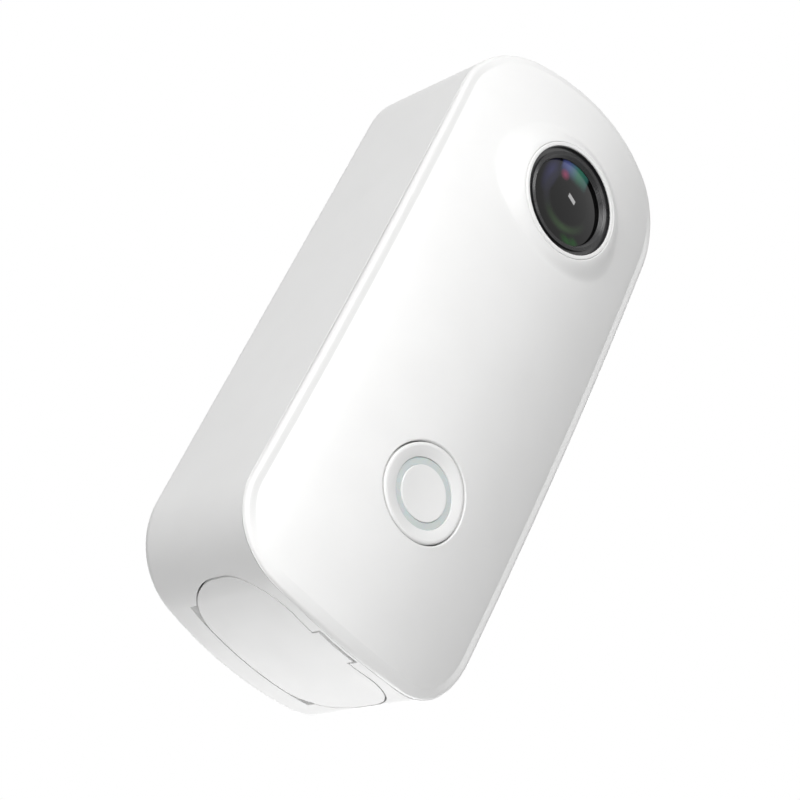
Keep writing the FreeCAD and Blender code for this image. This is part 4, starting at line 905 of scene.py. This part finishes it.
def make_lens_finish():
    """The front element: painted dark depth under a coated, glossy dome, with painted coloured reflections
    in its colour.
    """
    material, tree, shader, place = new_material("lens_coat_and_painted_reflections")
    shader.inputs["Roughness"].default_value = 0.35
    shader.inputs["Specular IOR Level"].default_value = 0.0
    shader.inputs["Coat Weight"].default_value = 1.0
    shader.inputs["Coat Roughness"].default_value = 0.015
    shader.inputs["Coat IOR"].default_value = 1.38
    radial = wired(tree, "ShaderNodeMapping", Vector=place)
    radial.inputs["Location"].default_value = (0, 0, -LENS_Z)
    radial.inputs["Scale"].default_value = (1, 0, 1)
    length = tree.nodes.new("ShaderNodeVectorMath")
    length.operation = "LENGTH"
    tree.links.new(radial.outputs["Vector"], length.inputs[0])
    reach = length.outputs["Value"]
    colour = ramp_of(tree, ranged(tree, reach, 0.0, 1.0, 0.0, GLASS_RADIUS), DEPTH_TONES)
    for tone, *spot in REFLECTION_SPOTS:
        colour = tinted(tree, colour, tone, blob(tree, place, *spot))
    bow = between(tree, reach, ARC_RADIUS - ARC_WIDTH, ARC_RADIUS + ARC_WIDTH, ARC_WIDTH)
    for tone, *spot in REFLECTION_ARCS:
        colour = tinted(tree, colour, tone, joined(tree, bow, blob(tree, place, *spot)))
    split = wired(tree, "ShaderNodeSeparateXYZ", Vector=radial.outputs["Vector"])
    across, up = split.outputs["X"], split.outputs["Z"]
    sides = between(tree, across, PANE_LEFT, PANE_RIGHT, PANE_SIDE_BLUR)
    pane = joined(tree, sides, between(tree, up, PANE_FOOT, PANE_TOP, PANE_FOOT_BLUR))
    tones = ramp_of(tree, ranged(tree, across, 0.0, 1.0, PANE_LEFT, PANE_RIGHT), PANE_TONES)
    mix = tree.nodes.new("ShaderNodeMix")
    mix.data_type = "RGBA"
    tree.links.new(pane, mix.inputs["Factor"])
    tree.links.new(colour, mix.inputs["A"])
    tree.links.new(tones, mix.inputs["B"])
    tone, *spot = MAGENTA_REFLECTION
    colour = tinted(tree, mix.outputs["Result"], tone, blob(tree, place, *spot))
    tree.links.new(colour, shader.inputs["Base Color"])
    return material


def make_clear_glass():
    """Clear coated glass that hardly reflects, for the rear element and the filter."""
    material, tree, shader, place = new_material("coated_glass")
    shader.inputs["Base Color"].default_value = (0.78, 0.8, 0.84, 1)
    shader.inputs["Transmission Weight"].default_value = 1.0
    shader.inputs["IOR"].default_value = 1.5
    shader.inputs["Specular IOR Level"].default_value = 0.12
    tree.links.new(uneven_gloss(tree, place, 3.0, 0.0, 0.012), shader.inputs["Roughness"])
    return material


def ramp_of(tree, value, stops):
    """A colour by value, through these stops."""
    ramp = wired(tree, "ShaderNodeValToRGB", Fac=value)
    while len(ramp.color_ramp.elements) < len(stops):
        ramp.color_ramp.elements.new(0.5)
    for element, (position, tone) in zip(ramp.color_ramp.elements, stops):
        element.position = position
        element.color = (*tone, 1)
    return ramp.outputs["Color"]


def tinted(tree, colour, tone, amount):
    """A colour, plain or linked, turned towards a tone by amount."""
    mix = tree.nodes.new("ShaderNodeMix")
    mix.data_type = "RGBA"
    mix.inputs["B"].default_value = (*tone, 1)
    tree.links.new(amount, mix.inputs["Factor"])
    if isinstance(colour, tuple):
        mix.inputs["A"].default_value = (*colour, 1)
    else:
        tree.links.new(colour, mix.inputs["A"])
    return mix.outputs["Result"]


def joined(tree, first, second):
    """The product of two values."""
    product = tree.nodes.new("ShaderNodeMath")
    product.operation = "MULTIPLY"
    tree.links.new(first, product.inputs[0])
    tree.links.new(second, product.inputs[1])
    return product.outputs["Value"]


def between(tree, value, low, high, softness):
    """0 outside low and high, rising to 1 within softness of each."""
    sides = []
    for edge, full in ((low, low + softness), (high, high - softness)):
        side = wired(tree, "ShaderNodeMapRange", Value=value)
        side.interpolation_type = "SMOOTHSTEP"
        side.inputs["From Min"].default_value = edge
        side.inputs["From Max"].default_value = full
        sides.append(side.outputs["Result"])
    return joined(tree, *sides)


def blob(tree, place, x, z, reach_x, reach_z):
    """A soft spot of painted reflection on a coated element, 1 at its middle, by its place from the lens
    axis.
    """
    shift = wired(tree, "ShaderNodeMapping", Vector=place)
    shift.inputs["Location"].default_value = (-x / reach_x, 0, -(LENS_Z + z) / reach_z)
    shift.inputs["Scale"].default_value = (1 / reach_x, 0, 1 / reach_z)
    spot = wired(tree, "ShaderNodeTexGradient", Vector=shift.outputs["Vector"])
    spot.gradient_type = "SPHERICAL"
    return spot.outputs["Fac"]


def make_inner_coat_reflections():
    """The inner element's coating hue, with spots of painted reflection."""
    material, tree, shader, place = new_material("inner_coat_painted_reflections")
    shader.inputs["Metallic"].default_value = 0.9
    shader.inputs["Roughness"].default_value = 0.18
    colour = INNER_GROUND
    for tone, *spot in INNER_REFLECTION_SPOTS:
        colour = tinted(tree, colour, tone, blob(tree, place, *spot))
    tree.links.new(colour, shader.inputs["Base Color"])
    return material


def set_finish(piece, material):
    """Give a piece one finish."""
    piece.data.materials.clear()
    piece.data.materials.append(material)


def make_camera():
    """The camera at the photograph's place."""
    data = bpy.data.cameras.new("photo_camera")
    data.lens = CAMERA_LENS
    data.sensor_width = CAMERA_SENSOR
    data.clip_start = CAMERA_NEAR
    data.clip_end = CAMERA_FAR
    camera = bpy.data.objects.new("photo_camera", data)
    camera.location = CAMERA_PLACE
    camera.rotation_euler = Euler([math.radians(turn) for turn in CAMERA_TURN], "XYZ")
    bpy.context.scene.collection.objects.link(camera)
    bpy.context.scene.camera = camera


def add_lamp(name, shape, width, height, power, place):
    """An area lamp at a place and turn, unseen by the camera."""
    data = bpy.data.lights.new(name, "AREA")
    data.shape = shape
    data.size = width
    data.size_y = height
    data.energy = power
    lamp = bpy.data.objects.new(name, data)
    lamp.matrix_world = place
    lamp.visible_camera = False
    bpy.context.scene.collection.objects.link(lamp)


def make_lamp(name, round_by, up_by, power):
    """A soft square lamp that faces the object, round_by degrees from its front and up_by above it."""
    turn, lift = math.radians(round_by), math.radians(up_by)
    away = Vector((math.sin(turn) * math.cos(lift), -math.cos(turn) * math.cos(lift), math.sin(lift)))
    place = Matrix.Translation(Vector(LAMP_TARGET) + away * LAMP_DISTANCE)
    facing = away.to_track_quat("Z", "Y").to_matrix().to_4x4()
    add_lamp(name, "SQUARE", LAMP_SIZE, LAMP_SIZE, power, place @ facing)


def make_strip_lamp():
    """A small bright strip, only there to be mirrored in the front element."""
    away = Vector(STRIP_AWAY).normalized()
    along = Vector(STRIP_ALONG)
    along = (along - along.dot(away) * away).normalized()
    facing = Matrix((along, away.cross(along), away)).transposed().to_4x4()
    lens = Vector((0, -GLASS_APEX, LENS_Z)) * MM
    place = Matrix.Translation(lens + away * LAMP_DISTANCE)
    add_lamp("strip_lamp", "RECTANGLE", STRIP_LENGTH, STRIP_WIDTH, STRIP_POWER, place @ facing)


def make_world():
    """An even light from all round, and plain white where the camera or a gloss looks."""
    world = bpy.data.worlds.new("studio")
    bpy.context.scene.world = world
    world.use_nodes = True
    tree = world.node_tree
    tree.nodes.clear()
    output = tree.nodes.new("ShaderNodeOutputWorld")
    around = tree.nodes.new("ShaderNodeBackground")
    around.inputs["Strength"].default_value = WORLD_STRENGTH
    around.inputs["Color"].default_value = (1, 1, 1, 1)
    white = tree.nodes.new("ShaderNodeBackground")
    white.inputs["Color"].default_value = (1, 1, 1, 1)
    seen = seen_by_camera(tree)
    mix = tree.nodes.new("ShaderNodeMixShader")
    tree.links.new(seen, mix.inputs["Fac"])
    tree.links.new(around.outputs["Background"], mix.inputs[1])
    tree.links.new(white.outputs["Background"], mix.inputs[2])
    tree.links.new(mix.outputs["Shader"], output.inputs["Surface"])


def seen_by_camera(tree):
    """1 for camera, glossy and transmission rays, and 0 for the rest."""
    path = tree.nodes.new("ShaderNodeLightPath")
    seen = path.outputs["Is Camera Ray"]
    for ray in ("Is Glossy Ray", "Is Transmission Ray"):
        either = tree.nodes.new("ShaderNodeMath")
        either.operation = "MAXIMUM"
        tree.links.new(seen, either.inputs[0])
        tree.links.new(path.outputs[ray], either.inputs[1])
        seen = either.outputs["Value"]
    return seen


def make_floor():
    """A pale floor below the object, as the picture sees it."""
    mesh = bpy.data.meshes.new("floor")
    corners = [(-1, -1), (1, -1), (1, 1), (-1, 1)]
    mesh.from_pydata([(x * FLOOR_REACH, y * FLOOR_REACH, 0) for x, y in corners], [], [(0, 1, 2, 3)])
    floor = bpy.data.objects.new("floor", mesh)
    down = Vector(PICTURE_DOWN).normalized()
    turn = (-down).to_track_quat("Z", "Y").to_matrix().to_4x4()
    floor.matrix_world = Matrix.Translation(down * FLOOR_DROP) @ turn
    bpy.context.scene.collection.objects.link(floor)
    floor.data.materials.append(make_floor_paper())


def make_floor_paper():
    """Pale paper that looks white to the camera and in reflections, and is clear from underneath."""
    material = bpy.data.materials.new("floor_paper")
    material.use_nodes = True
    tree = material.node_tree
    paper = tree.nodes["Principled BSDF"]
    paper.inputs["Base Color"].default_value = (0.8, 0.8, 0.8, 1)
    paper.inputs["Roughness"].default_value = 0.9
    glow = tree.nodes.new("ShaderNodeEmission")
    clear = tree.nodes.new("ShaderNodeBsdfTransparent")
    facing = tree.nodes.new("ShaderNodeNewGeometry")
    lit = tree.nodes.new("ShaderNodeMixShader")
    sided = tree.nodes.new("ShaderNodeMixShader")
    tree.links.new(seen_by_camera(tree), lit.inputs["Fac"])
    tree.links.new(paper.outputs["BSDF"], lit.inputs[1])
    tree.links.new(glow.outputs["Emission"], lit.inputs[2])
    tree.links.new(facing.outputs["Backfacing"], sided.inputs["Fac"])
    tree.links.new(lit.outputs["Shader"], sided.inputs[1])
    tree.links.new(clear.outputs["BSDF"], sided.inputs[2])
    tree.links.new(sided.outputs["Shader"], tree.nodes["Material Output"].inputs["Surface"])
    return material


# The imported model
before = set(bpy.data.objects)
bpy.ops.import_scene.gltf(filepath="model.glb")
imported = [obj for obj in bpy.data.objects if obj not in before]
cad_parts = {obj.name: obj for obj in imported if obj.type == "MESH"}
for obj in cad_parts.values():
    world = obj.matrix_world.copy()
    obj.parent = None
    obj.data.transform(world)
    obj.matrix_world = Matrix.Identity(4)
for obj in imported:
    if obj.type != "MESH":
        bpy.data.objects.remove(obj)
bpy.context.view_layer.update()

# Studio
make_camera()
make_floor()
make_world()
for lamp in LAMPS:
    make_lamp(*lamp)
make_strip_lamp()

# Finishes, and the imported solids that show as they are
finishes = {name: finish_of(name, **look) for name, look in FINISHES.items()}
finishes["coated_glass"] = make_clear_glass()
# The front and inner elements carry painted reflections in their base colours.
finishes["lens_coat_and_painted_reflections"] = make_lens_finish()
finishes["inner_coat_painted_reflections"] = make_inner_coat_reflections()
for name, nodes in NODE_FINISHES.items():
    for node in nodes:
        set_finish(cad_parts[node], finishes[name])

# Pieces, each with its body, the solid that it replaces, that solid's slot and its own finish
PIECES = [
    (make_cover(), "camera_body", "front_cover", "white_plastic", "white_plastic"),
    (smooth_copy("rear_shell", "deep_shell"), "camera_body", "rear_shell", "white_plastic", "white_plastic"),
    (smooth_copy("port_door", "end_door"), "port_door_body", "port_door", "white_plastic", "white_plastic"),
    (make_button_rim(), "shutter", "shutter_button", "white_plastic", "white_plastic"),
    (make_light_ring(), "shutter", "button_light_ring", "light_diffuser", "light_diffuser"),
    (make_button_cap(), "shutter", "button_centre", "white_plastic", "white_plastic"),
    (make_trim_ring(), "camera_body", "lens_trim_ring", "white_plastic", "white_plastic"),
    (make_bezel(), "camera_body", "lens_bezel", "black_plastic", "black_plastic"),
    (make_front_glass(), "camera_body", "lens_front_element", "coated_glass", "lens_coat_and_painted_reflections"),
    (make_inner_glass(), "camera_body", "lens_second_element", "coated_glass", "inner_coat_painted_reflections"),
]
for piece, body, node, slot, finish in PIECES:
    set_finish(piece, finishes[finish])
    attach(piece, body)
    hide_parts(node)

contacts = make_contacts(finishes["gold_contact"])
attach(contacts, "camera_body")

bpy.context.scene.view_settings.view_transform = "Standard"
